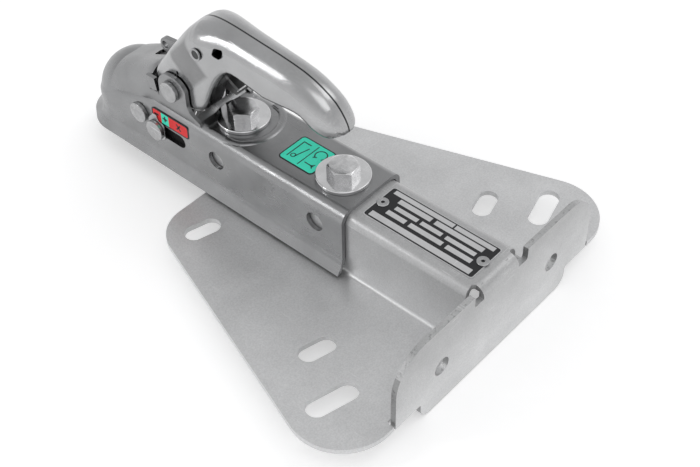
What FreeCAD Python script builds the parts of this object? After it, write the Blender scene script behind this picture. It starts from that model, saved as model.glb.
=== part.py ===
import FreeCAD, Part
import math
import os
import Sketcher
from FreeCAD import Placement, Rotation, Vector

# Ball coupling for a 50 mm ball, bolted to a pressed V-drawbar bracket.
# The origin is the centre of the coupling ball. +Z is up, +Y runs back along the drawbar,
# and +X is the side that carries the wear indicator. All lengths are in millimetres.

sizeTable = [
    # coupling head
    ("ballRadius", 25.0, "radius of the coupling ball"),
    ("ballClearance", 0.4, "play between ball and socket"),
    ("headSheet", 3.0, "sheet of the pressed head"),
    ("headWidth", 57.0, "outer width of the head over its flat sides"),
    ("headTop", 25.5, "height of the head's flat top"),
    ("headRear", 221.5, "rear end of the head"),
    ("headEdge", 8.0, "outer radius of the long top edges"),
    ("skirtTop", -17.0, "height where the sides start to flare"),
    ("skirtFoot", -25.0, "height of the skirt's lower rim"),
    ("skirtFlare", 5.0, "how far the skirt stands out at the sides"),
    ("noseFlare", 11.0, "how far the skirt stands out at the nose"),
    ("shoulderNose", 12.0, "height of the shoulder beside the ball centre"),
    ("shoulderRear", 46.0, "station where the shoulder reaches the flat top"),
    ("hoodWidth", 50.6, "outer width of the hood and ears"),
    ("hoodFront", -2.0, "station where the hood leaves the dome"),
    ("hoodRim", 40.5, "station of the hood's rear rim"),
    ("hoodHeight", 47.8, "height of the hood at its rear rim"),
    ("mouthRear", 85.0, "station of the mouth's rear edge"),
    ("lipRise", 3.2, "rise of the turned-up lip behind the mouth"),
    # handle pivot, ears
    ("pivotY", 65.7, "station of the handle pivot"),
    ("pivotZ", 42.1, "height of the handle pivot"),
    ("pivotPin", 10.0, "diameter of the handle pivot pin"),
    ("earRadius", 12.4, "radius of the ear round the pivot"),
    ("earRear", 92.0, "station where the ear runs out behind"),
    # clamp jaw and its rivet
    ("clampY", 33.1, "station of the clamp rivet"),
    ("clampZ", 9.3, "height of the clamp rivet"),
    ("clampRivet", 9.0, "diameter of the clamp rivet"),
    ("clampHalf", 19.0, "half the width of the jaw"),
    ("rivetHead", 15.5, "diameter of the flat heads of rivet and pins"),
    ("rivetHeadDepth", 3.4, "thickness of those heads"),
    ("fit", 0.05, "radial clearance of pins in their bores"),
    # wear indicator
    ("indicatorY", 50.3, "rest station of the indicator pin"),
    ("indicatorZ", 3.1, "height of the indicator pin"),
    ("indicatorPin", 9.8, "diameter of the indicator pin"),
    ("indicatorTravel", 22.0, "travel of the indicator pin"),
    ("slotPlay", 0.35, "play of the pin in its slot"),
    ("rollerRadius", 6.7, "radius of the locking rollers"),
    ("pointerSheet", 1.0, "sheet of the pointer"),
    # bolts
    ("boltFront", 108.0, "station of the front bolt"),
    ("boltPitch", 90.0, "distance between the two bolts"),
    ("boltSize", 12.0, "thread diameter of the bolts"),
    ("boltHole", 13.0, "clearance hole for the bolts"),
    ("boltAcross", 19.0, "width across the flats of head and nut"),
    ("boltHead", 7.5, "height of the bolt head"),
    ("boltShank", 38.0, "length of the bolt below its head"),
    ("nutHeight", 10.0, "height of the nut"),
    ("washerRadius", 18.5, "radius of the large washers"),
    ("washerSheet", 3.0, "thickness of the large washers"),
    ("nutWasherRadius", 12.0, "radius of the washers under the nuts"),
    ("nutWasherSheet", 2.5, "thickness of the washers under the nuts"),
    ("sideHole", 14.0, "holes through the sides of the head"),
    ("sideHoleZ", 6.0, "height of the side holes"),
    # drawbar bracket
    ("boxWidth", 50.0, "outer width of the bracket's box"),
    ("bracketSheet", 4.0, "sheet of the bracket"),
    ("wingTop", -27.0, "height of the wings' upper face"),
    ("bendRadius", 7.0, "outer radius of the bends"),
    ("wingFront", 97.5, "front edge of the wings and box"),
    ("wingRear", 325.0, "rear edge of the wings and the rear face"),
    ("wingFrontHalf", 77.9, "half width where front edge and slanted edge would meet"),
    ("wingRearHalf", 154.5, "half width where rear edge and slanted edge would meet"),
    ("wingFrontRound", 29.0, "radius of the wings' front corners"),
    ("wingRearRound", 35.5, "radius of the wings' rear corners"),
    ("flangeHalf", 98.5, "half width of the rear flange"),
    ("flangeTop", 23.5, "top edge of the rear flange"),
    ("flangeRound", 26.0, "radius of the rear flange's upper corners"),
    ("tabHalf", 75.0, "half width of the lower tab"),
    ("tabFoot", -46.0, "lower edge of the tab"),
    ("tabRound", 10.0, "radius of the tab's corners"),
    ("reliefHalf", 3.0, "radius of the bend reliefs"),
    ("wingGap", 1.5, "gap between wing and rear flange"),
    ("slotTilt", 15.0, "angle of the slots to the cross direction, in degrees"),
    ("slotWidth", 13.5, "width of the short slots"),
    ("slotLength", 26.0, "length of the short slots"),
    ("longSlotWidth", 14.5, "width of the rear slots"),
    ("longSlotLength", 36.0, "length of the rear slots"),
    ("frontSlotX", 59.0, "side place of the front slots"),
    ("frontSlotY", 122.3, "station of the front slots"),
    ("midSlotX", 85.5, "side place of the middle slots"),
    ("midSlotY", 251.3, "station of the middle slots"),
    ("rearSlotX", 108.4, "side place of the rear slots"),
    ("rearSlotY", 284.2, "station of the rear slots"),
    ("rearHole", 13.0, "holes in the rear flange"),
    ("rearHoleX", 56.2, "side place of those holes"),
    ("rearHoleZ", -12.0, "height of those holes"),
    # plates and labels
    ("typePlateWidth", 31.4, "width of the type plate"),
    ("typePlateFront", 227.5, "front edge of the type plate"),
    ("typePlateLength", 86.0, "length of the type plate"),
    ("typePlateSheet", 0.8, "thickness of the type plate"),
    ("typeRivetInset", 3.2, "distance of its rivets from the short edges"),
    ("typeRivetRadius", 1.6, "radius of those rivets"),
    ("labelSheet", 0.3, "thickness of the labels"),
    ("topLabelFront", 151.5, "front edge of the label on the top"),
    ("topLabelLength", 30.0, "length of the label on the top"),
    ("topLabelWidth", 26.4, "width of the label on the top"),
    ("sideLabelFront", 47.0, "front edge of the wear label"),
    ("sideLabelLength", 36.0, "length of the wear label"),
    ("sideLabelFoot", 9.6, "lower edge of the wear label"),
    ("sideLabelHeight", 10.0, "height of the wear label"),
    # handle
    ("handleSheet", 2.2, "sheet of the handle shells"),
    ("cheekHalf", 21.4, "half width of the handle between the ears"),
    ("gripHalf", 16.0, "half width of the grip"),
    ("gripRoof", 1.2, "how far each shell of the grip falls from the seam to its shoulder"),
    ("beadRadius", 24.0, "radius of the bead pressed up behind the front bolt"),
    ("beadHalf", 3.4, "half width of that bead"),
    ("beadRise", 0.8, "how far the bead stands up"),
    ("rivetY", 91.0, "station of the handle rivet"),
    ("rivetZ", 82.7, "height of the handle rivet"),
    ("handleRivet", 6.0, "diameter of the handle rivet"),
    ("leverSheet", 3.0, "thickness of the lever plates"),
    ("leverGap", 6.0, "free width between the lever plates"),
    ("forkPlay", 0.6, "play of the fork on the indicator pin"),
    ("lugSheet", 4.0, "thickness of the lug plate"),
    ("lugY", 36.5, "station of the padlock hole"),
    ("lugZ", 53.1, "height of the padlock hole"),
    ("lugRadius", 8.0, "radius of the lug"),
    ("lugHole", 5.5, "diameter of the padlock hole"),
    ("lugRivet", 5.0, "diameter of the rivet that holds the lug plate between the levers"),
    ("catchThick", 5.0, "thickness of the catch's arm"),
    ("catchTab", 8.0, "width of the catch's finger tab"),
    ("springWire", 1.8, "wire of the torsion springs"),
]

document = FreeCAD.newDocument("BallCoupler")
sheet = document.addObject("Spreadsheet::Sheet", "Sizes")
sheetValues = {}
for row, (alias, value, meaning) in enumerate(sizeTable, start=1):
    sheet.set("A%d" % row, str(value))
    sheet.set("B%d" % row, meaning)
    sheet.setAlias("A%d" % row, alias)
    sheetValues[alias] = value
document.recompute()


class Size:
    """A length as the sheet knows it: the text of its expression and its present value."""

    def __init__(self, text, value):
        self.text = text
        self.value = value

    def joined(self, other, sign, result):
        return Size("(%s %s %s)" % (self.text, sign, plain(other).text), result)

    def __add__(self, other):
        return self.joined(other, "+", self.value + plain(other).value)

    def __sub__(self, other):
        return self.joined(other, "-", self.value - plain(other).value)

    def __mul__(self, other):
        return self.joined(other, "*", self.value * plain(other).value)

    def __truediv__(self, other):
        return self.joined(other, "/", self.value / plain(other).value)

    def __neg__(self):
        return Size("(0 - %s)" % self.text, -self.value)


def plain(value):
    """Any number as a Size."""
    if isinstance(value, Size):
        return value
    return Size("(%r)" % float(value), float(value))


def of(alias):
    return Size("Sizes." + alias, sheetValues[alias])


def cosine(angle):
    return Size("cos(%s)" % angle.text, math.cos(math.radians(angle.value)))


def sine(angle):
    return Size("sin(%s)" % angle.text, math.sin(math.radians(angle.value)))


# Sketches

def newBody(label):
    body = document.addObject("PartDesign::Body", label)
    body.Label = label
    return body


def sketchOn(body, plane, station=0.0, name="Profile"):
    """A sketch on XY at a height, on XZ at a station along Y, or on YZ at a place along X."""
    sketch = body.newObject("Sketcher::SketchObject", name)
    role = plane + "_Plane"
    support = [item for item in body.Origin.OriginFeatures if item.Role == role][0]
    sketch.AttachmentSupport = [(support, "")]
    sketch.MapMode = "FlatFace"
    offset = plain(station)
    if plane == "XZ":
        offset = -offset
    sketch.setExpression("AttachmentOffset.Base.z", offset.text)
    return sketch


def pinPoint(sketch, geometry, position, x, y):
    """Fixes one point of the sketch at a place that follows the sheet."""
    for kind, place in (("DistanceX", x), ("DistanceY", y)):
        if place.value == 0.0:
            axis = -2 if kind == "DistanceX" else -1
            sketch.addConstraint(Sketcher.Constraint("PointOnObject", geometry, position, axis))
            continue
        rule = Sketcher.Constraint(kind, -1, 1, geometry, position, place.value)
        index = sketch.addConstraint(rule)
        sketch.setExpression("Constraints[%d]" % index, place.text)


def fixRadius(sketch, geometry, radius):
    index = sketch.addConstraint(Sketcher.Constraint("Radius", geometry, radius.value))
    sketch.setExpression("Constraints[%d]" % index, radius.text)


def outline(sketch, corners):
    """A closed outline through its corners, each (x, y) sharp or (x, y, radius) rounded."""
    places = []
    for corner in corners:
        radius = plain(corner[2]) if len(corner) > 2 else None
        places.append((plain(corner[0]), plain(corner[1]), radius))
    count = len(places)
    points = [Vector(x.value, y.value, 0) for x, y, radius in places]
    arrive, leave, centres = [], [], []
    for i, point in enumerate(points):
        radius = places[i][2]
        if radius is None:
            arrive.append(point)
            leave.append(point)
            centres.append(None)
            continue
        back = (points[i - 1] - point).normalize()
        ahead = (points[(i + 1) % count] - point).normalize()
        half = back.getAngle(ahead) / 2
        reach = radius.value / math.tan(half)
        arrive.append(point + back * reach)
        leave.append(point + ahead * reach)
        centres.append(point + (back + ahead).normalize() * (radius.value / math.sin(half)))
    lines = []
    for i in range(count):
        following = (i + 1) % count
        taken = points[i].distanceToPoint(leave[i]) + points[following].distanceToPoint(arrive[following])
        if taken > points[i].distanceToPoint(points[following]) - 1e-3:
            raise RuntimeError("rounds overlap after corner %d of %s" % (i, sketch.Label))
        lines.append(sketch.addGeometry(Part.LineSegment(leave[i], arrive[(i + 1) % count]), False))
    for i, (x, y, radius) in enumerate(places):
        before, after = lines[i - 1], lines[i]
        if radius is None:
            sketch.addConstraint(Sketcher.Constraint("Coincident", before, 2, after, 1))
            pinPoint(sketch, after, 1, x, y)
            continue
        start = arrive[i] - centres[i]
        end = leave[i] - centres[i]
        leftTurn = (points[i] - points[i - 1]).cross(points[(i + 1) % count] - points[i]).z > 0
        if not leftTurn:
            start, end = end, start
        first = math.atan2(start.y, start.x)
        last = math.atan2(end.y, end.x)
        circle = Part.Circle(centres[i], Vector(0, 0, 1), radius.value)
        arc = sketch.addGeometry(Part.ArcOfCircle(circle, first, last), False)
        arcStart, arcEnd = (1, 2) if leftTurn else (2, 1)
        sketch.addConstraint(Sketcher.Constraint("Tangent", before, 2, arc, arcStart))
        sketch.addConstraint(Sketcher.Constraint("Tangent", arc, arcEnd, after, 1))
        fixRadius(sketch, arc, radius)
        corner = sketch.addGeometry(Part.Point(points[i]), True)
        sketch.addConstraint(Sketcher.Constraint("PointOnObject", corner, 1, before))
        sketch.addConstraint(Sketcher.Constraint("PointOnObject", corner, 1, after))
        pinPoint(sketch, corner, 1, x, y)
    settle(sketch)
    return sketch


def ring(sketch, x, y, radius):
    """A circle in the sketch."""
    x, y, radius = plain(x), plain(y), plain(radius)
    circle = Part.Circle(Vector(x.value, y.value, 0), Vector(0, 0, 1), radius.value)
    geometry = sketch.addGeometry(circle, False)
    pinPoint(sketch, geometry, 3, x, y)
    fixRadius(sketch, geometry, radius)
    return sketch


def slot(sketch, x, y, length, width, angle):
    """A slot with round ends, its long axis turned by an angle."""
    x, y, angle = plain(x), plain(y), plain(angle)
    radius = plain(width) / 2
    reach = plain(length) / 2 - radius
    along = (cosine(angle), sine(angle))
    across = Vector(-along[1].value, along[0].value, 0) * radius.value
    ends = []
    for side in (1, -1):
        ends.append((x + reach * along[0] * side, y + reach * along[1] * side))
    middle = [Vector(end[0].value, end[1].value, 0) for end in ends]
    turn = math.radians(angle.value)
    arcs = []
    for side, centre in zip((1, -1), middle):
        start = turn - math.pi / 2 if side > 0 else turn + math.pi / 2
        circle = Part.Circle(centre, Vector(0, 0, 1), radius.value)
        arcs.append(sketch.addGeometry(Part.ArcOfCircle(circle, start, start + math.pi), False))
    upper = sketch.addGeometry(Part.LineSegment(middle[0] + across, middle[1] + across), False)
    lower = sketch.addGeometry(Part.LineSegment(middle[1] - across, middle[0] - across), False)
    joints = ((arcs[0], 2, upper, 1), (upper, 2, arcs[1], 1), (arcs[1], 2, lower, 1), (lower, 2, arcs[0], 1))
    for first, firstEnd, second, secondEnd in joints:
        sketch.addConstraint(Sketcher.Constraint("Tangent", first, firstEnd, second, secondEnd))
    fixRadius(sketch, arcs[0], radius)
    for arc, end in zip(arcs, ends):
        pinPoint(sketch, arc, 3, end[0], end[1])
    return sketch


# Features

def settle(item):
    """Recomputes, and stops if the object has failed."""
    document.recompute()
    if "Invalid" in item.State or "Error" in item.State:
        raise RuntimeError("%s failed: %s" % (item.Label, item.getStatusString()))
    return item


def pad(body, sketch, length, towards=1, symmetric=False, name="Pad"):
    """Material along +X, +Y or +Z for towards=1, or the other way for towards=-1."""
    feature = body.newObject("PartDesign::Pad", name)
    feature.Profile = sketch
    feature.setExpression("Length", plain(length).text)
    feature.SideType = "Symmetric" if symmetric else "One side"
    facesBack = sketch.AttachmentSupport[0][0].Role == "XZ_Plane"
    feature.Reversed = (towards < 0) != facesBack
    return settle(feature)


def pocket(body, sketch, length=None, towards=1, symmetric=False, name="Pocket"):
    """Removes material along an axis, through everything when no length is given."""
    before = body.Tip.Shape.Volume
    feature = body.newObject("PartDesign::Pocket", name)
    feature.Profile = sketch
    if length is None:
        feature.Type = "ThroughAll"
        feature.SideType = "Symmetric"
    else:
        feature.setExpression("Length", plain(length).text)
        feature.SideType = "Symmetric" if symmetric else "One side"
    facesBack = sketch.AttachmentSupport[0][0].Role == "XZ_Plane"
    feature.Reversed = (towards > 0) != facesBack
    settle(feature)
    if feature.Shape.Volume > before - 1e-6:
        raise RuntimeError("%s in %s cuts nothing" % (name, body.Label))
    return feature


def loft(body, sketches, ruled=True, name="Loft"):
    feature = body.newObject("PartDesign::AdditiveLoft", name)
    feature.Profile = sketches[0]
    feature.Sections = sketches[1:]
    feature.Ruled = ruled
    return settle(feature)


def fillet(body, chosen, radius, name="Fillet"):
    """Rounds the edges of the body's last feature for which chosen(edge) holds."""
    base = body.Tip
    names = ["Edge%d" % i for i, edge in enumerate(base.Shape.Edges, start=1) if chosen(edge)]
    if not names:
        raise RuntimeError("no edge chosen in %s" % body.Label)
    feature = body.newObject("PartDesign::Fillet", name)
    feature.Base = (base, names)
    feature.setExpression("Radius", plain(radius).text)
    return settle(feature)


def place(item, x=0.0, y=0.0, z=0.0, rotation=None):
    """Puts an object at a place that follows the sheet."""
    if rotation is not None:
        item.Placement = Placement(Vector(0, 0, 0), rotation)
    for axis, value in (("x", x), ("y", y), ("z", z)):
        item.setExpression("Placement.Base." + axis, plain(value).text)
    return item


alongX = Rotation(Vector(0, 1, 0), 90)
alongY = Rotation(Vector(1, 0, 0), -90)
alongZ = Rotation()


def cylinder(name, radius, length, x=0.0, y=0.0, z=0.0, rotation=alongZ):
    """A cylinder centred on its place, along the axis that the rotation names."""
    item = document.addObject("Part::Cylinder", name)
    item.setExpression("Radius", plain(radius).text)
    item.setExpression("Height", plain(length).text)
    half = plain(length) / 2
    if rotation is alongX:
        x = plain(x) - half
    elif rotation is alongY:
        y = plain(y) - half
    else:
        z = plain(z) - half
    return place(item, x, y, z, rotation)


def block(name, low, high):
    """A box between two opposite corners."""
    item = document.addObject("Part::Box", name)
    for side, lowest, highest in zip(("Length", "Width", "Height"), low, high):
        item.setExpression(side, (plain(highest) - lowest).text)
    return place(item, *low)


def cut(name, base, tools):
    """Cuts every tool from the base, and stops if one of them cuts nothing."""
    result = base
    for index, tool in enumerate(tools):
        step = document.addObject("Part::Cut", "%s_%d" % (name, index))
        step.Base = result
        step.Tool = tool
        settle(step)
        if step.Shape.Volume > result.Shape.Volume - 1e-6:
            raise RuntimeError("%s cuts nothing from %s" % (tool.Label, name))
        result = step
    result.Label = name
    return result


def fuse(name, items):
    item = document.addObject("Part::MultiFuse", name)
    item.Shapes = items
    item.Refine = True
    item.Label = name
    return settle(item)


def common(name, items):
    item = document.addObject("Part::MultiCommon", name)
    item.Shapes = items
    item.Label = name
    return settle(item)


def mirrored(name, source):
    """The same piece on the other side of the middle plane."""
    item = document.addObject("Part::Mirroring", name)
    item.Source = source
    item.Normal = Vector(1, 0, 0)
    item.Label = name
    return settle(item)


nodes = {}


def keep(node, item):
    item.Label = node
    nodes[node] = item
    return item


# Sizes that several pieces share

half = of("headWidth") / 2
earHalf = of("hoodWidth") / 2
earInner = earHalf - of("headSheet")
wallInner = half - of("headSheet")
topInner = of("headTop") - of("headSheet")
boxTop = topInner
boxHalf = of("boxWidth") / 2
boxUnder = boxTop - of("bracketSheet")
wingUnder = of("wingTop") - of("bracketSheet")
flangeFront = of("wingRear") - of("bracketSheet")
boltRear = of("boltFront") + of("boltPitch")
slotHeight = of("indicatorPin") + of("slotPlay") * 2
bore = of("fit")


# Coupling head

def noseOutline(sketch, wide, front, turn, rear):
    """The head's plan: straight sides, and a round nose made of four turns."""
    shoulder = turn * 0.45
    radius = turn * 0.8
    outline(sketch, [
        (wide, rear), (wide, -shoulder, radius), (wide * 0.45, -front, radius),
        (-wide * 0.45, -front, radius), (-wide, -shoulder, radius), (-wide, rear)])
    return sketch


def archOutline(sketch, wide, top, radius, foot):
    """A cross-section with upright sides and round upper corners."""
    return outline(sketch, [(wide, foot), (wide, top, radius), (-wide, top, radius), (-wide, foot)])


def headForm(label, inset, extra, earEnd):
    """The closed form of the head, drawn in all round by inset; extra opens its foot and rear."""
    body = newBody(label)
    wide = half - inset
    top = of("headTop") - inset
    rear = of("headRear") + extra
    skirt = sketchOn(body, "XY", of("skirtTop"), "SidePlan")
    noseOutline(skirt, wide, wide, wide, rear)
    pad(body, skirt, top - of("skirtTop"), name="Sides")
    # The shoulder falls from the flat top down to the ball's sides.
    slope = sketchOn(body, "YZ", name="ShoulderLine")
    front = -of("ballRadius") * 2
    high = of("headTop") + 10
    nose = of("shoulderNose") - inset
    outline(slope, [(of("shoulderRear"), high), (front, high), (front, nose - 14), (0, nose), (of("shoulderRear"), top)])
    pocket(body, slope, name="Shoulder")
    edge = of("headEdge") - inset * 0.6

    def upperEdge(candidate):
        box = candidate.BoundBox
        return box.YMax > 1 and box.ZMin > 0 and abs(box.XMin - box.XMax) < 0.01 and abs(box.XMin) > wide.value - 0.1

    fillet(body, upperEdge, edge, "LongEdges")
    dome = body.newObject("PartDesign::AdditiveSphere", "Dome")
    dome.setExpression("Radius", (of("ballRadius") + of("ballClearance") + of("headSheet") - inset).text)
    dome.Angle1 = 0
    settle(dome)
    # The hood climbs from the dome to the ears.
    hoodHalf = earHalf - inset
    sections = []
    for station, height, round_ in ((of("hoodFront"), of("headTop") + 2.9, 19.5), (of("hoodRim"), of("hoodHeight"), 15.0)):
        section = sketchOn(body, "XZ", station, "HoodSection")
        archOutline(section, hoodHalf, height - inset, plain(round_) - inset, 1.0)
        sections.append(section)
    loft(body, sections, name="Hood")
    ears = sketchOn(body, "XZ", of("hoodRim"), "EarSection")
    outline(ears, [(hoodHalf, 1), (hoodHalf, extra + 62), (-hoodHalf, extra + 62), (-hoodHalf, 1)])
    pad(body, ears, earEnd - of("hoodRim"), name="Ears")
    # The skirt flares out below the sides.
    upper = sketchOn(body, "XY", of("skirtTop"), "SkirtTop")
    noseOutline(upper, wide, wide, wide, rear)
    lower = sketchOn(body, "XY", of("skirtFoot") - extra, "SkirtFoot")
    flare = of("skirtFlare") * (extra / 8 + 1)
    noseOutline(lower, wide + flare, wide + of("noseFlare"), wide + flare, rear)
    loft(body, [upper, lower], name="Skirt")
    return body


outerForm = headForm("HeadOutside", plain(0), plain(0), of("earRear"))
innerForm = headForm("HeadInside", of("headSheet"), plain(1), of("mouthRear"))


def earLine():
    """Everything above the ears' and the hood's upper edge."""
    body = newBody("AboveEars")
    sketch = sketchOn(body, "YZ", name="EarLine")
    y, z, radius = of("pivotY"), of("pivotZ"), of("earRadius")
    ceiling = z + 40
    outline(sketch, [
        (of("hoodRim"), ceiling), (of("hoodRim"), of("hoodHeight") - 4.5, 1.5), (y - 23, z - 6.5, 2.0),
        (y - radius, z - 8.5, 2.6), (y - radius, z + radius, radius - 0.4),
        (y + radius, z + radius, radius - 0.4), (y + radius + 5.5, of("headTop") + 7, 12.0),
        (of("earRear") + 6, of("headTop") - 1, 4.0), (of("earRear") + 20, of("headTop") + 4),
        (of("earRear") + 20, ceiling)])
    pad(body, sketch, of("hoodWidth") + 10, symmetric=True)
    return body


def mouth():
    """The opening between the ears, with a slot ahead of it for the lug."""
    body = newBody("Mouth")
    sketch = sketchOn(body, "XY", of("indicatorZ") + 14, "MouthPlan")
    front, rear = of("hoodRim"), of("mouthRear")
    outline(sketch, [
        (earInner, rear, 5), (earInner, front, 7), (4, front, 2), (4, front - 15, 2),
        (-4, front - 15, 2), (-4, front, 2), (-earInner, front, 7), (-earInner, rear, 5)])
    pad(body, sketch, 80)
    return body


def lip():
    """The ramp that turns up behind the mouth."""
    body = newBody("MouthLip")
    sketch = sketchOn(body, "YZ", name="LipSection")
    sheetThick = of("headSheet")
    rear, top = of("mouthRear"), of("headTop")
    start = of("boltFront") - of("washerRadius") - 0.3
    outline(sketch, [
        (rear, top + of("lipRise")), (rear, top + of("lipRise") - sheetThick),
        (start - 1, top - sheetThick), (start + 2, top - sheetThick), (start + 2, top), (start, top)])
    pad(body, sketch, earInner * 2 + 2, symmetric=True)
    return body


def headSlots():
    """The slots in both sides for the indicator pin."""
    body = newBody("IndicatorSlots")
    sketch = sketchOn(body, "YZ", name="SlotSection")
    travel = of("indicatorTravel")
    slot(sketch, of("indicatorY") + travel / 2, of("indicatorZ"), travel + slotHeight, slotHeight, 0)
    pad(body, sketch, of("headWidth") + 10, symmetric=True)
    return body


throughHead = of("headWidth") + 20
headSteps = [
    innerForm, earLine(), mouth(), headSlots(),
    block("EarSpace", (-earInner, of("hoodRim"), of("headTop")), (earInner, of("earRear") + 1, of("headTop") + 40)),
    cylinder("ClampBore", of("clampRivet") / 2 + bore, throughHead, 0, of("clampY"), of("clampZ"), alongX),
    cylinder("PivotBore", of("pivotPin") / 2 + bore, throughHead, 0, of("pivotY"), of("pivotZ"), alongX),
]
for station, word in ((of("boltFront"), "Front"), (boltRear, "Rear")):
    headSteps.append(cylinder("Side" + word, of("sideHole") / 2, throughHead, 0, station, of("sideHoleZ"), alongX))
    headSteps.append(cylinder("Bolt" + word, of("boltHole") / 2, 20, 0, station, of("headTop"), alongZ))
shell = cut("HeadShell", outerForm, headSteps)


def bead():
    """The curved bead pressed up out of the top, behind the front bolt."""
    ring_ = document.addObject("Part::Torus", "BeadRing")
    tube = of("beadHalf") * 1.6
    ring_.setExpression("Radius1", of("beadRadius").text)
    ring_.setExpression("Radius2", tube.text)
    ring_.Angle3 = 150
    place(ring_, 0, of("boltFront"), of("headTop") + of("beadRise") - tube, Rotation(Vector(0, 0, 1), 15))
    layer = block("BeadLayer", (-40, 80, of("headTop") - 1), (40, 160, of("headTop") + 3))
    return common("TopBead", [ring_, layer])


keep("coupling_head", fuse("HeadWithLip", [shell, lip(), bead()]))


# Drawbar bracket, one sheet bent into a box with a wing on each side and a flange behind

def bracket():
    body = newBody("drawbar_bracket")
    gauge = of("bracketSheet")
    inner = of("bendRadius") - gauge
    wide = of("wingRearHalf")
    section = sketchOn(body, "XZ", of("wingFront"), "BentSheet")
    outline(section, [
        (boxHalf, boxTop, of("bendRadius")), (boxHalf, of("wingTop"), inner), (wide, of("wingTop")),
        (wide, wingUnder), (boxHalf - gauge, wingUnder, of("bendRadius")), (boxHalf - gauge, boxUnder, inner),
        (-boxHalf + gauge, boxUnder, inner), (-boxHalf + gauge, wingUnder, of("bendRadius")), (-wide, wingUnder),
        (-wide, of("wingTop")), (-boxHalf, of("wingTop"), inner), (-boxHalf, boxTop, of("bendRadius"))])
    pad(body, section, of("wingRear") - of("wingFront"), name="BentSheetRun")
    # The plan of the wings, and what lies outside it.
    plan = sketchOn(body, "XY", wingUnder - 1, "WingPlan")
    front, rear = of("wingFront"), of("wingRear")
    frontHalf, rearHalf = of("wingFrontHalf"), of("wingRearHalf")
    for side in (1, -1):
        outline(plan, [
            (frontHalf * side * 0.3, front - 1), (frontHalf * side * 0.3, front),
            (frontHalf * side, front, of("wingFrontRound")), (rearHalf * side, rear, of("wingRearRound")),
            (rearHalf * side * 0.5, rear), (rearHalf * side * 0.5, rear + 1),
            ((rearHalf + 5) * side, rear + 1), ((rearHalf + 5) * side, front - 1)])
    pocket(body, plan, of("bendRadius") + gauge + 2, towards=1, name="WingEdges")
    # Behind the box the wings end short of the flange.
    relief = sketchOn(body, "XY", wingUnder - 1, "WingReturn")
    reach = of("flangeHalf") + of("wingGap")
    back = flangeFront - of("wingGap")
    outline(relief, [(reach, rear + 1), (reach, back, 1), (-reach, back, 1), (-reach, rear + 1)])
    pocket(body, relief, gauge + of("bendRadius"), towards=1, name="WingReturnCut")
    face = sketchOn(body, "XZ", flangeFront, "FlangeFace")
    high, foot, side = of("flangeTop"), wingUnder, of("flangeHalf")
    notch = boxHalf - of("bendRadius") - 0.5
    edge = boxHalf + of("reliefHalf") * 0.5
    bendStart = boxTop - of("bendRadius") - 1
    corners = [
        (side, foot), (side, high, of("flangeRound")), (edge, high, 1), (edge, bendStart, 1.5), (notch, bendStart, 1.5),
        (notch, boxTop), (-notch, boxTop), (-notch, bendStart, 1.5), (-edge, bendStart, 1.5),
        (-edge, high, 1), (-side, high, of("flangeRound")), (-side, foot), (-of("tabHalf"), foot, 1.5),
        (-of("tabHalf"), of("tabFoot"), of("tabRound")), (of("tabHalf"), of("tabFoot"), of("tabRound")),
        (of("tabHalf"), foot, 1.5)]
    outline(face, corners)
    pad(body, face, gauge, name="Flange")
    # The reliefs beside the rear bend, and the bend itself.
    for side in (1, -1):
        nick = sketchOn(body, "XY", bendStart, "BendRelief")
        low, high_ = notch * side, (boxHalf + 1) * side
        outline(nick, [(low, rear + 1), (low, flangeFront - 4.5, 2), (high_, flangeFront - 4.5, 2), (high_, rear + 1)])
        pocket(body, nick, of("bendRadius") + 5, towards=1, name="BendReliefCut")

    def rearBend(candidate):
        box = candidate.BoundBox
        across = box.XMax - box.XMin > notch.value
        return across and abs(box.YMin - rear.value) < 0.01 and abs(box.ZMin - boxTop.value) < 0.01

    fillet(body, rearBend, of("bendRadius"), "RearBend")
    holes = sketchOn(body, "XY", wingUnder - 1, "WingSlots")
    for side in (1, -1):
        tilt = of("slotTilt") * -side
        slot(holes, of("frontSlotX") * side, of("frontSlotY"), of("slotLength"), of("slotWidth"), tilt)
        slot(holes, of("midSlotX") * side, of("midSlotY"), of("slotLength"), of("slotWidth"), tilt)
        slot(holes, of("rearSlotX") * side, of("rearSlotY"), of("longSlotLength"), of("longSlotWidth"), tilt)
    pocket(body, holes, gauge + 2, towards=1, name="WingSlotCuts")
    drilled = sketchOn(body, "XZ", flangeFront - 1, "RearHoles")
    for side in (1, -1):
        ring(drilled, of("rearHoleX") * side, of("rearHoleZ"), of("rearHole") / 2)
    pocket(body, drilled, gauge + 2, towards=1, name="RearHoleCuts")
    bolts = sketchOn(body, "XY", boxUnder - 1, "BoltHoles")
    ring(bolts, 0, of("boltFront"), of("boltHole") / 2)
    ring(bolts, 0, boltRear, of("boltHole") / 2)
    for end in (of("typeRivetInset"), of("typePlateLength") - of("typeRivetInset")):
        ring(bolts, 0, of("typePlateFront") + end, of("typeRivetRadius") + bore)
    pocket(body, bolts, gauge + 2, towards=1, name="BoltHoleCuts")
    return body


keep("drawbar_bracket", bracket())


# Bolts, washers and nuts

def hexagon(name, across, height, z, y):
    """A hexagonal prism with its corners turned off at both ends."""
    prism = document.addObject("Part::Prism", name + "Prism")
    prism.Polygon = 6
    corner = across / (cosine(plain(30)) * 2)
    prism.setExpression("Circumradius", corner.text)
    prism.setExpression("Height", height.text)
    place(prism, 0, y, z, Rotation(Vector(0, 0, 1), 10))
    cone = document.addObject("Part::Cone", name + "Turned")
    slope = 0.5
    cone.setExpression("Radius1", (across / 2 * 0.97 + height * (1 / slope)).text)
    cone.setExpression("Radius2", (across / 2 * 0.97).text)
    cone.setExpression("Height", height.text)
    place(cone, 0, y, z)
    return common(name, [prism, cone])


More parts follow.
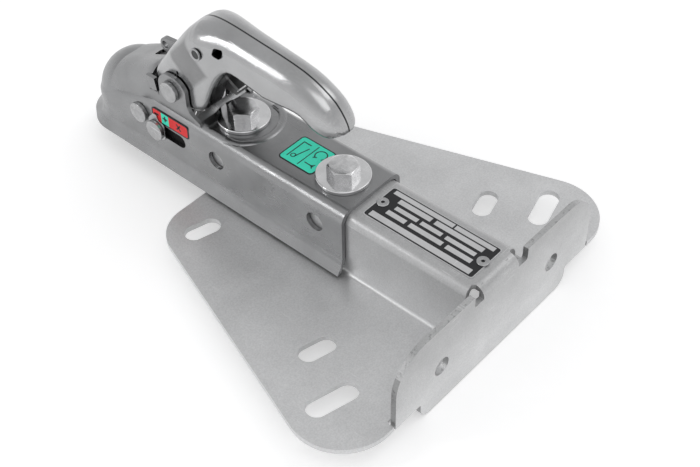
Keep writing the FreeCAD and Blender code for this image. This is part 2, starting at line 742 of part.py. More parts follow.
def bolt(node, station):
    seat = of("headTop") + of("washerSheet")
    head = hexagon(node + "Head", of("boltAcross"), of("boltHead"), seat, station)
    shank = cylinder(node + "Shank", of("boltSize") / 2, of("boltShank"), 0, station, seat - of("boltShank") / 2)
    keep(node, fuse(node, [head, shank]))


def washer(node, radius, thickness, station, seat):
    disc = cylinder(node + "Disc", radius, thickness, 0, station, seat + thickness / 2)
    hole = cylinder(node + "Hole", of("boltHole") / 2, thickness * 3, 0, station, seat)
    keep(node, cut(node, disc, [hole]))


nutSeat = boxUnder - of("nutWasherSheet")
for word, station in (("front", of("boltFront")), ("rear", boltRear)):
    bolt(word + "_bolt", station)
    washer(word + "_bolt_washer", of("washerRadius"), of("washerSheet"), station, of("headTop"))
    washer(word + "_nut_washer", of("nutWasherRadius"), of("nutWasherSheet"), station, nutSeat)
    nutBody = hexagon(word + "NutBody", of("boltAcross"), of("nutHeight"), nutSeat - of("nutHeight"), station)
    thread = cylinder(word + "NutThread", of("boltSize") / 2 + bore, of("nutHeight") * 3, 0, station, nutSeat)
    keep(word + "_nut", cut(word + "_nut", nutBody, [thread]))


# Type plate and its rivets

def typePlate():
    body = newBody("type_plate")
    sketch = sketchOn(body, "XY", boxTop, "PlatePlan")
    wide, front = of("typePlateWidth") / 2, of("typePlateFront")
    rear = front + of("typePlateLength")
    outline(sketch, [(wide, front, 2.5), (wide, rear, 2.5), (-wide, rear, 2.5), (-wide, front, 2.5)])
    for end in (of("typeRivetInset"), of("typePlateLength") - of("typeRivetInset")):
        ring(sketch, 0, front + end, of("typeRivetRadius") + bore)
    pad(body, sketch, of("typePlateSheet"))
    return body


def typeRivet(name, station):
    """A hollow rivet: a flat ring above the plate and a tube through it."""
    top = boxTop + of("typePlateSheet")
    radius = of("typeRivetRadius")
    deep = of("bracketSheet") + of("typePlateSheet")
    flat = cylinder(name + "Flat", radius * 2, 0.7, 0, station, top + 0.35)
    tube = cylinder(name + "Tube", radius, deep, 0, station, top - deep / 2)
    hole = cylinder(name + "Hole", radius * 0.55, deep * 3, 0, station, top)
    return cut(name, fuse(name + "Body", [flat, tube]), [hole])


keep("type_plate", typePlate())
rivetFront = of("typePlateFront") + of("typeRivetInset")
rivetRear = of("typePlateFront") + of("typePlateLength") - of("typeRivetInset")
keep("type_plate_rivet_front", typeRivet("type_plate_rivet_front", rivetFront))
keep("type_plate_rivet_rear", typeRivet("type_plate_rivet_rear", rivetRear))


# Labels

def topLabel():
    body = newBody("operation_label")
    sketch = sketchOn(body, "XY", of("headTop"), "TopLabelPlan")
    wide, front = of("topLabelWidth") / 2, of("topLabelFront")
    rear = front + of("topLabelLength")
    outline(sketch, [(wide, front, 2.5), (wide, rear, 1), (-wide, rear, 1), (-wide, front, 2.5)])
    pad(body, sketch, of("labelSheet"))
    seat = sketchOn(body, "XY", of("headTop"), "WasherRoom")
    ring(seat, 0, boltRear, of("washerRadius") + 0.3)
    pocket(body, seat)
    return body


def sideLabel():
    body = newBody("wear_label")
    sketch = sketchOn(body, "YZ", half, "SideLabelFace")
    front, foot = of("sideLabelFront"), of("sideLabelFoot")
    rear, top = front + of("sideLabelLength"), foot + of("sideLabelHeight")
    outline(sketch, [(front, foot, 2), (rear, foot, 1.5), (rear, top, 1.5), (front, top, 2)])
    pad(body, sketch, of("labelSheet"))
    return body


keep("operation_label", topLabel())
keep("wear_label", sideLabel())


# Clamp jaw, its rivet, and the wear indicator

def headedPin(name, diameter, y, z, underHead, headRadius, depth):
    """A pin across the head with a flat head at each end; underHead is where the heads start."""
    parts = [cylinder(name + "Shank", diameter / 2, underHead * 2, 0, y, z, alongX)]
    for side in (1, -1):
        parts.append(cylinder(name + "Head", headRadius, depth, (underHead + depth / 2) * side, y, z, alongX))
    return fuse(name, parts)


def clampJaw():
    """The shoe that grips the ball from behind and below."""
    body = newBody("JawBlock")
    sketch = sketchOn(body, "YZ", name="JawSection")
    y, z, reach = of("clampY"), of("clampZ"), of("ballRadius")
    back = of("indicatorY") - of("rollerRadius") - 0.8
    outline(sketch, [
        (y - 14, z + 7.2, 3), (back, z + 7.2, 6.5), (back, z - 14, 7), (y - 3, z - 25.5, 2.5), (y - 17, z - 25.5),
        (y - 17, z)])
    pad(body, sketch, of("clampHalf") * 2, symmetric=True)
    ball = document.addObject("Part::Sphere", "JawBall")
    ball.setExpression("Radius", (reach + of("ballClearance")).text)
    pin = cylinder("JawBore", of("clampRivet") / 2 + bore, of("clampHalf") * 3, 0, y, z, alongX)
    side = of("leverGap") / 2 + of("leverSheet") + 0.7
    fork = block("JawForkRoom", (-side, y + 5.7, z - 30), (side, y + 30, z + 30))
    return cut("ball_clamp_jaw", body, [ball, pin, fork])


def pointer():
    """The thin sheet between the indicator pin's head and the wall, with its pointing finger."""
    body = newBody("wear_pointer")
    sketch = sketchOn(body, "YZ", half + of("labelSheet") + 0.2, "PointerFace")
    y, z, radius = of("indicatorY"), of("indicatorZ"), of("rivetHead") / 2
    outline(sketch, [
        (y - radius, z - radius, 4), (y + radius, z - radius, 4), (y + radius, z + radius - 1, 3),
        (y + 2, z + radius + 0.5, 2), (y + 1, z + radius + 5, 0.8), (y - 2.5, z + radius + 5, 0.8), (y - radius, z + radius - 1, 2)])
    ring(sketch, y, z, of("indicatorPin") / 2 + bore)
    pad(body, sketch, of("pointerSheet"))
    return body


headRadius, headDepth = of("rivetHead") / 2, of("rivetHeadDepth")
keep("clamp_rivet", headedPin(
    "clamp_rivet", of("clampRivet"), of("clampY"), of("clampZ"), half, headRadius, headDepth))
keep("ball_clamp_jaw", clampJaw())
indicatorUnder = half + of("labelSheet") + of("pointerSheet") + 0.4
keep("indicator_pin", headedPin(
    "indicator_pin", of("indicatorPin"), of("indicatorY"), of("indicatorZ"), indicatorUnder, headRadius,
    headDepth - 0.4))
keep("wear_pointer", pointer())
leverHalf = of("leverGap") / 2
leverOuter = leverHalf + of("leverSheet")
rollerStart = leverOuter + 0.4
rollerEnd = wallInner - 0.5
for side, word in ((1, "near"), (-1, "far")):
    middle = (rollerStart + rollerEnd) / 2 * side
    length = rollerEnd - rollerStart
    y, z = of("indicatorY"), of("indicatorZ")
    tube = cylinder("RollerTube", of("rollerRadius"), length, middle, y, z, alongX)
    hole = cylinder("RollerBore", of("indicatorPin") / 2 + bore, length * 2, middle, y, z, alongX)
    keep("locking_roller_" + word, cut("locking_roller_" + word, tube, [hole]))


# Handle: two pressed shells on a pair of lever plates

# Cross-sections of the handle from the front of the cheeks to the tip of the grip. Each runs from a
# foot to a crown, both given from the pivot, then comes the half width as a share of the grip's,
# and the radii at crown and foot.
handleSections = [
    (-9.7, -10.6, -19.4, -3.6, 1.337, 4.5, 1.5), (4.3, -12.5, -19.2, 4.4, 1.337, 6.0, 3.0),
    (19.6, -11.3, -14.4, 16.6, 1.337, 7.0, 5.0), (27.0, -5.2, -7.6, 28.0, 1.337, 8.5, 6.0),
    (31.0, 3.6, 0.6, 39.1, 1.337, 11.0, 6.0), (34.5, 12.4, 8.8, 49.6, 1.319, 13.5, 6.0),
    (38.6, 20.6, 17.8, 56.6, 1.306, 16.0, 6.0), (43.2, 28.0, 28.6, 58.8, 1.2, 16.5, 6.0),
    (49.3, 32.0, 40.3, 58.8, 1.1, 16.0, 6.0), (58.8, 30.6, 54.3, 57.8, 1.031, 15.3, 6.0),
    (78.4, 25.8, 80.5, 55.5, 1.0, 15.1, 6.5), (97.3, 27.6, 102.3, 52.5, 0.969, 14.6, 6.5),
    (108.4, 26.9, 116.3, 47.7, 0.937, 13.8, 6.5), (117.6, 21.6, 127.6, 41.2, 0.89, 12.6, 6.0),
    (125.6, 19.2, 134.6, 33.0, 0.76, 9.0, 4.6), (130.8, 19.6, 137.5, 27.2, 0.54, 4.6, 3.0),
    (134.0, 21.2, 138.0, 24.2, 0.27, 1.6, 1.3),
]


def between(first, second, share):
    return tuple(a + (b - a) * share for a, b in zip(first, second))


def eased(rows):
    """The rows with one more halfway between each two, on a smooth line through them all."""
    result = []
    for index in range(len(rows) - 1):
        before, start, end = rows[max(index - 1, 0)], rows[index], rows[index + 1]
        after = rows[min(index + 2, len(rows) - 1)]
        middle = tuple((9 * (b + c) - a - d) / 16 for a, b, c, d in zip(before, start, end, after))
        result += [start, middle]
    return result + [rows[-1]]


def handleForm(label, inset):
    """The closed form of the handle, drawn in all round by inset."""
    body = newBody(label)
    rows = list(handleSections)
    if inset.value > 0:
        rows[0] = between(rows[0], rows[1], 0.3)
        rows[-1] = between(rows[-2], rows[-1], 0.25)
    sections = []
    for footY, footZ, crownY, crownZ, share, round_, footRound in eased(rows):
        rise = Vector(0, crownY - footY, crownZ - footZ)
        sketch = sketchOn(body, "XZ", of("pivotY") + footY, "HandleSection")
        sketch.setExpression("AttachmentOffset.Base.y", (of("pivotZ") + footZ).text)
        sketch.AttachmentOffset = Placement(
            sketch.AttachmentOffset.Base, Rotation(Vector(1, 0, 0), math.degrees(math.atan2(-rise.y, rise.z))))
        wide = of("gripHalf") * share - inset
        high = plain(rise.Length) - inset
        roof = of("gripRoof") * share
        crown = plain(round_) - inset
        foot = plain(max(footRound - inset.value, 0.5))
        outline(sketch, [
            (wide, inset, foot), (wide, high - roof, crown), (0, high), (-wide, high - roof, crown),
            (-wide, inset, foot)])
        sections.append(sketch)
    loft(body, sections, name="HandleBody")
    return body


def handleOpenings():
    """What is cut from both shells together."""
    y, z = of("pivotY"), of("pivotZ")
    wide = of("cheekHalf") * 3
    lever = of("leverGap") / 2 + of("leverSheet")
    odd = newBody("GripWindow")
    window = sketchOn(odd, "YZ", name="WindowFace")
    outline(window, [
        (y + 37.5, z + 44, 1.5), (y + 43, z + 43, 1.5), (y + 46.5, z + 46, 1.5), (y + 45, z + 50, 1.5), (y + 38.5, z + 49.5, 1.5)])
    pad(odd, window, wide, symmetric=True)
    return [
        block("LugSlit", (of("lugSheet") / -2 - 0.6, y - 26, z), (of("lugSheet") / 2 + 0.6, y - 4, z + 24)),
        block("LeverRoom", (-lever - 11.5, y - 26, z - 22), (lever + 11.5, y + 18.6, z - 3)),
        block("CatchSlit", (of("catchTab") / -2 - 0.7, y + 12, z - 22), (of("catchTab") / 2 + 0.7, y + 48, z + 30)),
        cylinder("HandlePinBore", of("pivotPin") / 2 + bore, wide, 0, y, z, alongX),
        cylinder("HandleRivetBore", of("handleRivet") / 2 + bore, wide, 0, of("rivetY"), of("rivetZ"), alongX),
        cylinder("CheekHole", 2.2, wide, 0, y + 1.2, z + 11, alongX),
        odd,
    ]


handleTube = cut("HandleTube", handleForm("HandleOutside", plain(0)), [handleForm("HandleInside", of("handleSheet"))] + handleOpenings())
farSide = block("FarSide", (-40, 0, 0), (0, 260, 160))
shellNear = keep("handle_shell_near", cut("handle_shell_near", handleTube, [farSide]))
keep("handle_shell_far", mirrored("handle_shell_far", shellNear))


def leverPlate():
    """Plate with a fork for the indicator pin, a hub on the pivot and an arm to the handle rivet."""
    body = newBody("lever_plate_near")
    sketch = sketchOn(body, "YZ", leverHalf, "LeverFace")
    y, z = of("pivotY"), of("pivotZ")
    reach = of("indicatorPin") / 2 + of("forkPlay")
    # The fork points at the indicator pin's rest place.
    down = Vector(0, of("indicatorY").value - y.value, of("indicatorZ").value - z.value).normalize()
    ahead = Vector(0, down.z, -down.y)

    def onFork(distance, side, radius=None):
        side = plain(side)
        place = (y + down.y * distance + side * ahead.y, z + down.z * distance + side * ahead.z)
        return place if radius is None else place + (radius,)

    outline(sketch, [
        onFork(47.5, reach + 3.4, 2.5), onFork(47.5, reach, 1), onFork(33, reach, 5), onFork(33, -reach, 5),
        onFork(47.5, -reach, 1), onFork(47.5, -reach - 3.8, 2.5), onFork(18, -reach - 3.8, 6), (y + 12, z - 15.5, 3),
        (y + 17.3, z - 12.1, 2), (y + 16.5, z - 4, 8), (y + 36, z + 42, 8), (y + 22.5, z + 51, 8), (y - 6, z + 13.5, 10),
        (y - 14, z + 5, 8), onFork(14, reach + 6.5, 8)])
    ring(sketch, y, z, of("pivotPin") / 2 + bore)
    ring(sketch, of("rivetY"), of("rivetZ"), of("handleRivet") / 2 + bore)
    ring(sketch, y + lugAnchor[0], z + lugAnchor[1], of("lugRivet") / 2 + bore)
    pad(body, sketch, of("leverSheet"))
    return body


def lugPlate():
    """Plate between the levers whose lug stands out ahead of the handle for a padlock."""
    body = newBody("lug_plate")
    sketch = sketchOn(body, "YZ", name="LugFace")
    y, z = of("pivotY"), of("pivotZ")
    lugY, lugZ, lug = of("lugY"), of("lugZ"), of("lugRadius")
    outline(sketch, [
        (lugY - lug, lugZ - lug * 0.75, 6), (lugY - lug * 0.6, lugZ + lug * 0.95, 7), (lugY + lug * 1.3, lugZ + lug * 0.8, 8),
        (y + 6, z + 28, 8), (y + 12.5, z + 31, 5), (y + 16.5, z + 21, 5), (y + 9.5, z + 1, 8), (y + 7, z - 9, 7),
        (y - 7, z - 9, 7), (y - 10, z + 3, 6), (lugY + lug, lugZ - lug, 5)])
    ring(sketch, y, z, of("pivotPin") / 2 + bore)
    ring(sketch, lugY, lugZ, of("lugHole") / 2)
    ring(sketch, y + lugAnchor[0], z + lugAnchor[1], of("lugRivet") / 2 + bore)
    pad(body, sketch, of("lugSheet"), symmetric=True)
    return body


def safetyCatch():
    """Finger catch on the handle rivet, with a toe over the head's lip."""
    arm = newBody("CatchArm")
    sketch = sketchOn(arm, "YZ", name="CatchFace")
    y, z = of("rivetY"), of("rivetZ")
    outline(sketch, [
        (y - 6, z + 6, 5.5), (y - 6, z - 41, 5), (y - 6.8, z - 49.6, 1), (y - 11, z - 50, 1),
        (y - 11, z - 53.2, 1.5), (y - 3, z - 53.2, 4), (y - 1, z - 40, 8), (y + 1, z - 33, 1.5), (y + 15.5, z - 33.5, 1.5),
        (y + 16, z - 30, 1.5), (y + 3, z - 23, 6), (y + 6, z - 8, 10), (y + 6, z + 6, 5.5)])
    ring(sketch, y, z, of("handleRivet") / 2 + bore)
    pad(arm, sketch, of("catchThick"), symmetric=True)
    tab = newBody("CatchTab")
    face = sketchOn(tab, "YZ", name="TabFace")
    outline(face, [(y + 3.5, z - 33.1), (y + 15.5, z - 33.5, 1.5), (y + 16, z - 30, 1.5), (y + 3.5, z - 23.4)])
    pad(tab, face, of("catchTab"), symmetric=True)
    return fuse("safety_catch", [arm, tab])


lugAnchor = (9.5, 24.0)
leverNear = keep("lever_plate_near", leverPlate())
keep("lever_plate_far", mirrored("lever_plate_far", leverNear))
keep("lug_plate", lugPlate())
keep("safety_catch", safetyCatch())
keep("handle_pivot_pin", headedPin(
    "handle_pivot_pin", of("pivotPin"), of("pivotY"), of("pivotZ"), earHalf, headRadius, headDepth))
keep("handle_rivet", headedPin(
    "handle_rivet", of("handleRivet"), of("rivetY"), of("rivetZ"), of("cheekHalf") - 0.3, plain(4.6), plain(1.8)))
keep("lug_rivet", headedPin(
    "lug_rivet", of("lugRivet"), of("pivotY") + lugAnchor[0], of("pivotZ") + lugAnchor[1], leverOuter, plain(4.2), plain(1.6)))


# Torsion springs

def coil(name, radius, wire, turns, start, y, z, legs):
    """A coil of round wire along +X from start, with a straight leg at each end."""
    pitch = wire * 1.12
    line = document.addObject("Part::Helix", name + "Line")
    line.setExpression("Pitch", pitch.text)
    line.setExpression("Height", (pitch * turns).text)
    line.setExpression("Radius", radius.text)
    settle(line)
    section = document.addObject("Part::Circle", name + "Wire")
    section.setExpression("Radius", (wire / 2).text)
    section.Placement = Placement(Vector(radius.value, 0, 0), Rotation(Vector(1, 0, 0), 90))
    section.setExpression("Placement.Base.x", radius.text)
    settle(section)
    swept = document.addObject("Part::Sweep", name + "Coil")
    swept.Sections = [section]
    swept.Spine = (line, ["Edge1"])
    swept.Solid = True
    swept.Frenet = True
    settle(swept)
    parts = [swept]
    for height, length in ((plain(0), legs[0]), (pitch * turns, legs[1])):
        leg = document.addObject("Part::Cylinder", name + "Leg")
        leg.setExpression("Radius", (wire / 2).text)
        leg.Height = abs(length)
        leg.Placement = Placement(Vector(0, 0, 0), Rotation(Vector(1, 0, 0), 90 if length > 0 else -90))
        leg.setExpression("Placement.Base.x", radius.text)
        leg.setExpression("Placement.Base.z", height.text)
        parts.append(leg)
    item = fuse(name, parts)
    return place(item, start, y, z, alongX)


keep("handle_spring", coil(
    "handle_spring", of("pivotPin") / 2 + of("springWire") / 2 + 0.9, of("springWire"), 4.5, leverOuter + 2.5, of("pivotY"),
    of("pivotZ"), (9, -9)))
keep("catch_spring", coil(
    "catch_spring", of("handleRivet") / 2 + 1.2, plain(1.2), 4, leverOuter + 1.5, of("rivetY"), of("rivetZ"), (7, -7)))
keep("jaw_spring", coil(
    "jaw_spring", of("clampRivet") / 2 + 1.5, plain(1.2), 2.5, of("clampHalf") + 0.8, of("clampY"), of("clampZ"), (5, -5)))


# Checks, then one file for each piece

document.recompute()
for item in document.Objects:
    if "Invalid" in item.State or "Error" in item.State:
        raise RuntimeError("%s is in error: %s" % (item.Label, item.getStatusString()))
for name, item in nodes.items():
    shape = item.Shape
    if shape.isNull() or not shape.isValid() or not shape.Solids:
        raise RuntimeError("%s has no valid solid" % name)

os.makedirs("parts", exist_ok=True)
for name, item in nodes.items():
    item.Shape.exportStep("parts/%s.step" % name)
    print(name, len(item.Shape.Solids), round(item.Shape.Volume), item.Shape.BoundBox)
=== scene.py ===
import math

import bmesh
import bpy
from mathutils import Matrix, Vector


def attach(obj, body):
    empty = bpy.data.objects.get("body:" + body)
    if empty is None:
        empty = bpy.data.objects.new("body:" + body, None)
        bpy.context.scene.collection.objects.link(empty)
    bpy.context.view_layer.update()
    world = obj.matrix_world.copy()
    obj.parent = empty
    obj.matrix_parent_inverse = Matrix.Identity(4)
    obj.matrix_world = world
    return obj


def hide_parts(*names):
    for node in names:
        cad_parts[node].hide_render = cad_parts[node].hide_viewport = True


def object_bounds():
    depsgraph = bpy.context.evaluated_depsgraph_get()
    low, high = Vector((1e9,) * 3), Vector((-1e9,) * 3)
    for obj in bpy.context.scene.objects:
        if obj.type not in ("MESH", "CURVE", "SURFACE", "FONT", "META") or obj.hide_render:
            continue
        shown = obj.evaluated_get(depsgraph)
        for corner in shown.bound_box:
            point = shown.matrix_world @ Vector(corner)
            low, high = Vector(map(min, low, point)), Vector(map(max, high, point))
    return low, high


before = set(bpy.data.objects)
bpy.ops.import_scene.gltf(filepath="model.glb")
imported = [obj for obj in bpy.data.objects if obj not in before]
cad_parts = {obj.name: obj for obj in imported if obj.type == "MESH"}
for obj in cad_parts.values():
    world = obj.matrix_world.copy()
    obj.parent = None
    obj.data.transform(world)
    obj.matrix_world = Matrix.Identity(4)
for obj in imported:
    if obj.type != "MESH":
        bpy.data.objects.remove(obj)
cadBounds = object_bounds()
scene = bpy.context.scene
print("frame loaded")


# Camera: the photograph's place and angle

camera = {
    "place": (0.44642, 0.60451, 0.57820),
    "azimuth": 131.5376,
    "elevation": 44.1906,
    "roll": -0.5705,
    "focal": 1272.97,
    "centre": (356.72, 214.53),
    "frame": (700, 467),
    "sensor": 36,
    "nearest": 0.01,
}


def makeCamera(view):
    azimuth, elevation, roll = (math.radians(view[name]) for name in ("azimuth", "elevation", "roll"))
    forward = Vector((-math.sin(azimuth) * math.cos(elevation),
                      math.cos(azimuth) * math.cos(elevation),
                      -math.sin(elevation)))
    right = forward.cross(Vector((0, 0, 1))).normalized()
    up = right.cross(forward)
    rolledRight = math.cos(roll) * right + math.sin(roll) * up
    rolledUp = math.cos(roll) * up - math.sin(roll) * right
    turn = Matrix((rolledRight, rolledUp, -forward)).transposed().to_4x4()
    bpy.ops.object.camera_add()
    made = bpy.context.object
    made.name = "photoCamera"
    made.matrix_world = Matrix.Translation(view["place"]) @ turn
    lens = made.data
    width, height = view["frame"]
    lens.sensor_fit = "HORIZONTAL"
    lens.sensor_width = view["sensor"]
    lens.lens = view["focal"] / width * view["sensor"]
    lens.shift_x = (width / 2 - view["centre"][0]) / width
    lens.shift_y = (view["centre"][1] - height / 2) / width
    lens.clip_start = view["nearest"]
    lens.dof.use_dof = False
    scene.camera = made


makeCamera(camera)


# Node helpers

def newMaterial(name):
    material = bpy.data.materials.new(name)
    material.use_nodes = True
    material.node_tree.nodes.clear()
    return material


def newGroup(name, inputs, outputs):
    group = bpy.data.node_groups.new(name, "ShaderNodeTree")
    for title, value in inputs.items():
        socket = group.interface.new_socket(title, in_out="INPUT", socket_type="NodeSocketFloat")
        socket.default_value = value
    group.interface.new_socket("Vector", in_out="INPUT", socket_type="NodeSocketVector")
    for title in outputs:
        group.interface.new_socket(title, in_out="OUTPUT", socket_type="NodeSocketFloat")
    return group, add(group, "NodeGroupInput").outputs, add(group, "NodeGroupOutput").inputs


def add(tree, kind, **values):
    made = tree.nodes.new(kind)
    for key, value in values.items():
        if hasattr(made, key) and key not in made.inputs:
            setattr(made, key, value)
        else:
            made.inputs[key].default_value = value
    return made


def link(tree, start, end):
    tree.links.new(start, end)


def feed(tree, value, socket):
    # a number or a colour sets the socket, an output is linked to it
    if isinstance(value, (int, float)):
        socket.default_value = value
    elif isinstance(value, tuple):
        socket.default_value = value + (1,)
    else:
        link(tree, value, socket)


def useGroup(tree, group, vector, **values):
    made = add(tree, "ShaderNodeGroup", node_tree=group)
    link(tree, vector, made.inputs["Vector"])
    for key, value in values.items():
        feed(tree, value, made.inputs[key])
    return made.outputs


def math2(tree, operation, first, second, clamp=False):
    made = add(tree, "ShaderNodeMath", operation=operation, use_clamp=clamp)
    feed(tree, first, made.inputs[0])
    feed(tree, second, made.inputs[1])
    return made.outputs[0]


def remap(tree, value, fromLow, fromHigh, toLow=0.0, toHigh=1.0):
    made = add(tree, "ShaderNodeMapRange", clamp=True)
    for place, number in enumerate((value, fromLow, fromHigh, toLow, toHigh)):
        feed(tree, number, made.inputs[place])
    return made.outputs[0]


def noise(tree, vector, scale, detail=2.0, roughness=0.5, distortion=0.0):
    made = add(tree, "ShaderNodeTexNoise", Detail=detail, Roughness=roughness, Distortion=distortion)
    link(tree, vector, made.inputs["Vector"])
    feed(tree, scale, made.inputs["Scale"])
    return made.outputs["Fac"]


def stretched(tree, vector, turn, scale):
    made = add(tree, "ShaderNodeMapping", Rotation=[math.radians(angle) for angle in turn], Scale=scale)
    link(tree, vector, made.inputs["Vector"])
    return made.outputs["Vector"]


def axis(tree, vector, name):
    made = add(tree, "ShaderNodeSeparateXYZ")
    link(tree, vector, made.inputs[0])
    return made.outputs[name]


def mixed(tree, factor, first, second, blend="MIX"):
    made = add(tree, "ShaderNodeMix", data_type="RGBA", blend_type=blend)
    for place, value in ((0, factor), (6, first), (7, second)):
        feed(tree, value, made.inputs[place])
    return made.outputs[2]


def faceMark(tree, name):
    return add(tree, "ShaderNodeAttribute", attribute_name=name).outputs["Fac"]


# Floor, backdrop and soft light

stage = {"y": 0.15, "gap": 0.0005, "size": 6.0, "tone": 0.84, "lift": 0.36, "glossyLift": 0.28}
world = {"horizon": (0.98, 0.98, 0.985), "zenith": (0.66, 0.662, 0.667), "rise": (0.05, 0.60)}
lamps = [
    {"name": "nearSoftbox", "place": (1.19, -0.74, 1.07), "aim": (0, 0.12, 0), "size": (0.11, 0.72), "power": 2.7},
    {"name": "overSoftbox", "place": (0.35, 0.80, 1.60), "aim": (0, 0.15, 0), "size": (1.0, 0.8), "power": 2.4},
    {"name": "rearSoftbox", "place": (-0.98, 0.60, 1.50), "aim": (0, 0.12, 0), "size": (0.7, 0.8), "power": 2.1},
]


def deselect():
    bpy.ops.object.select_all(action="DESELECT")


def makeFloor(values):
    deselect()
    bpy.ops.mesh.primitive_plane_add(size=values["size"],
                                     location=(0, values["y"], cadBounds[0][2] - values["gap"]))
    floor = bpy.context.object
    floor.name = "paleFloor"
    material = newMaterial("palePaper")
    tree = material.node_tree
    paper = add(tree, "ShaderNodeBsdfDiffuse", Color=(values["tone"],) * 3 + (1,))
    # camera and mirror rays see the paper a little brighter than it lights the part
    glow = add(tree, "ShaderNodeEmission")
    path = add(tree, "ShaderNodeLightPath")
    mirrored = math2(tree, "MAXIMUM", path.outputs["Is Glossy Ray"], path.outputs["Is Transmission Ray"])
    mirrored = math2(tree, "MULTIPLY", mirrored, values["glossyLift"])
    seen = math2(tree, "MULTIPLY", path.outputs["Is Camera Ray"], values["lift"])
    link(tree, math2(tree, "ADD", seen, mirrored), glow.inputs["Strength"])
    both = add(tree, "ShaderNodeAddShader")
    link(tree, paper.outputs[0], both.inputs[0])
    link(tree, glow.outputs[0], both.inputs[1])
    link(tree, both.outputs[0], add(tree, "ShaderNodeOutputMaterial").inputs["Surface"])
    floor.data.materials.append(material)


def makeWorld(values):
    scene.world = bpy.data.worlds.new("studioRoom")
    scene.world.use_nodes = True
    tree = scene.world.node_tree
    tree.nodes.clear()
    # pale walls that grow darker towards the ceiling, and plain white behind the object
    room = add(tree, "ShaderNodeBackground", Strength=1.0)
    height = axis(tree, add(tree, "ShaderNodeTexCoord").outputs["Generated"], "Z")
    link(tree, mixed(tree, remap(tree, height, *values["rise"]), values["horizon"], values["zenith"]),
         room.inputs["Color"])
    white = add(tree, "ShaderNodeBackground", Strength=1.0, Color=(1, 1, 1, 1))
    choice = add(tree, "ShaderNodeMixShader")
    link(tree, add(tree, "ShaderNodeLightPath").outputs["Is Camera Ray"], choice.inputs[0])
    link(tree, room.outputs[0], choice.inputs[1])
    link(tree, white.outputs[0], choice.inputs[2])
    link(tree, choice.outputs[0], add(tree, "ShaderNodeOutputWorld").inputs["Surface"])


def makeLamp(values):
    bpy.ops.object.light_add(type="AREA", location=values["place"])
    lamp = bpy.context.object
    lamp.name = values["name"]
    away = Vector(values["place"]) - Vector(values["aim"])
    lamp.rotation_euler = away.to_track_quat("Z", "Y").to_euler()
    lamp.data.shape = "RECTANGLE"
    lamp.data.size, lamp.data.size_y = values["size"]
    lamp.data.energy = values["power"]


makeFloor(stage)
makeWorld(world)
for lamp in lamps:
    makeLamp(lamp)
scene.view_settings.view_transform = "Standard"
print("camera, floor and lights set")


# Shared effects of worked steel

zincGrain = {"speck": (3.0, 0.65), "cloud": (4.0, 0.55, 0.4), "window": (0.3, 0.7)}
fineScuffs = {
    "threads": [((0, 0, 28), (1500, 45, 700)), ((20, 35, -40), (45, 1300, 800)), ((60, 10, 75), (900, 60, 1500))],
    "noise": (1.0, 1.0), "thin": (0.66, 0.74), "patchScale": 55.0, "patch": (0.48, 0.62),
}
softSmears = {"turn": (10, 0, 35), "stretch": (55, 25, 60), "noise": (1.0, 3.0, 0.6, 0.6), "window": (0.32, 0.68)}
edgeNicks = {"noise": (420.0, 3.0, 0.7), "window": (0.55, 0.66)}


def makeGrainGroup(values):
    # zinc grain: a fine speckle over a slow cloud
    group, start, end = newGroup(
        "zincGrain", {"Speck Scale": 900.0, "Speck": 0.1, "Cloud Scale": 40.0, "Cloud": 0.1}, ("Tone", "Height"))
    speck = noise(group, start["Vector"], start["Speck Scale"], *values["speck"])
    cloud = noise(group, start["Vector"], start["Cloud Scale"], *values["cloud"])
    speckTone = math2(group, "MULTIPLY", remap(group, speck, *values["window"], -1.0, 1.0), start["Speck"])
    cloudTone = math2(group, "MULTIPLY", remap(group, cloud, *values["window"], -1.0, 1.0), start["Cloud"])
    link(group, math2(group, "ADD", math2(group, "ADD", 1.0, speckTone), cloudTone), end["Tone"])
    link(group, speck, end["Height"])
    return group


def makeScuffGroup(values):
    # fine scuffs: sparse thin lines in three directions, broken up by a slow mask
    group, start, end = newGroup("fineScuffs", {"Amount": 0.5}, ("Mask",))
    lines = 0.0
    for turn, scale in values["threads"]:
        thread = noise(group, stretched(group, start["Vector"], turn, scale), *values["noise"])
        lines = math2(group, "MAXIMUM", lines, remap(group, thread, *values["thin"]))
    patch = remap(group, noise(group, start["Vector"], values["patchScale"]), *values["patch"])
    lines = math2(group, "MULTIPLY", lines, patch)
    link(group, math2(group, "MULTIPLY", lines, start["Amount"]), end["Mask"])
    return group


def makeSmearGroup(values):
    # handling marks: wide soft smears that change the gloss
    group, start, end = newGroup("softSmears", {"Low": 0.3, "High": 0.45}, ("Gloss",))
    wide = noise(group, stretched(group, start["Vector"], values["turn"], values["stretch"]), *values["noise"])
    link(group, remap(group, wide, *values["window"], start["Low"], start["High"]), end["Gloss"])
    return group


def makeNickGroup(values):
    # dark nicks of a laser-cut edge
    group, start, end = newGroup("edgeNicks", {"Edge": 0.0, "Amount": 0.45}, ("Mask",))
    bites = remap(group, noise(group, start["Vector"], *values["noise"]), *values["window"])
    bites = math2(group, "MULTIPLY", bites, start["Edge"])
    link(group, math2(group, "MULTIPLY", bites, start["Amount"]), end["Mask"])
    return group


grainGroup = makeGrainGroup(zincGrain)
scuffGroup = makeScuffGroup(fineScuffs)
smearGroup = makeSmearGroup(softSmears)
nickGroup = makeNickGroup(edgeNicks)


# Metals

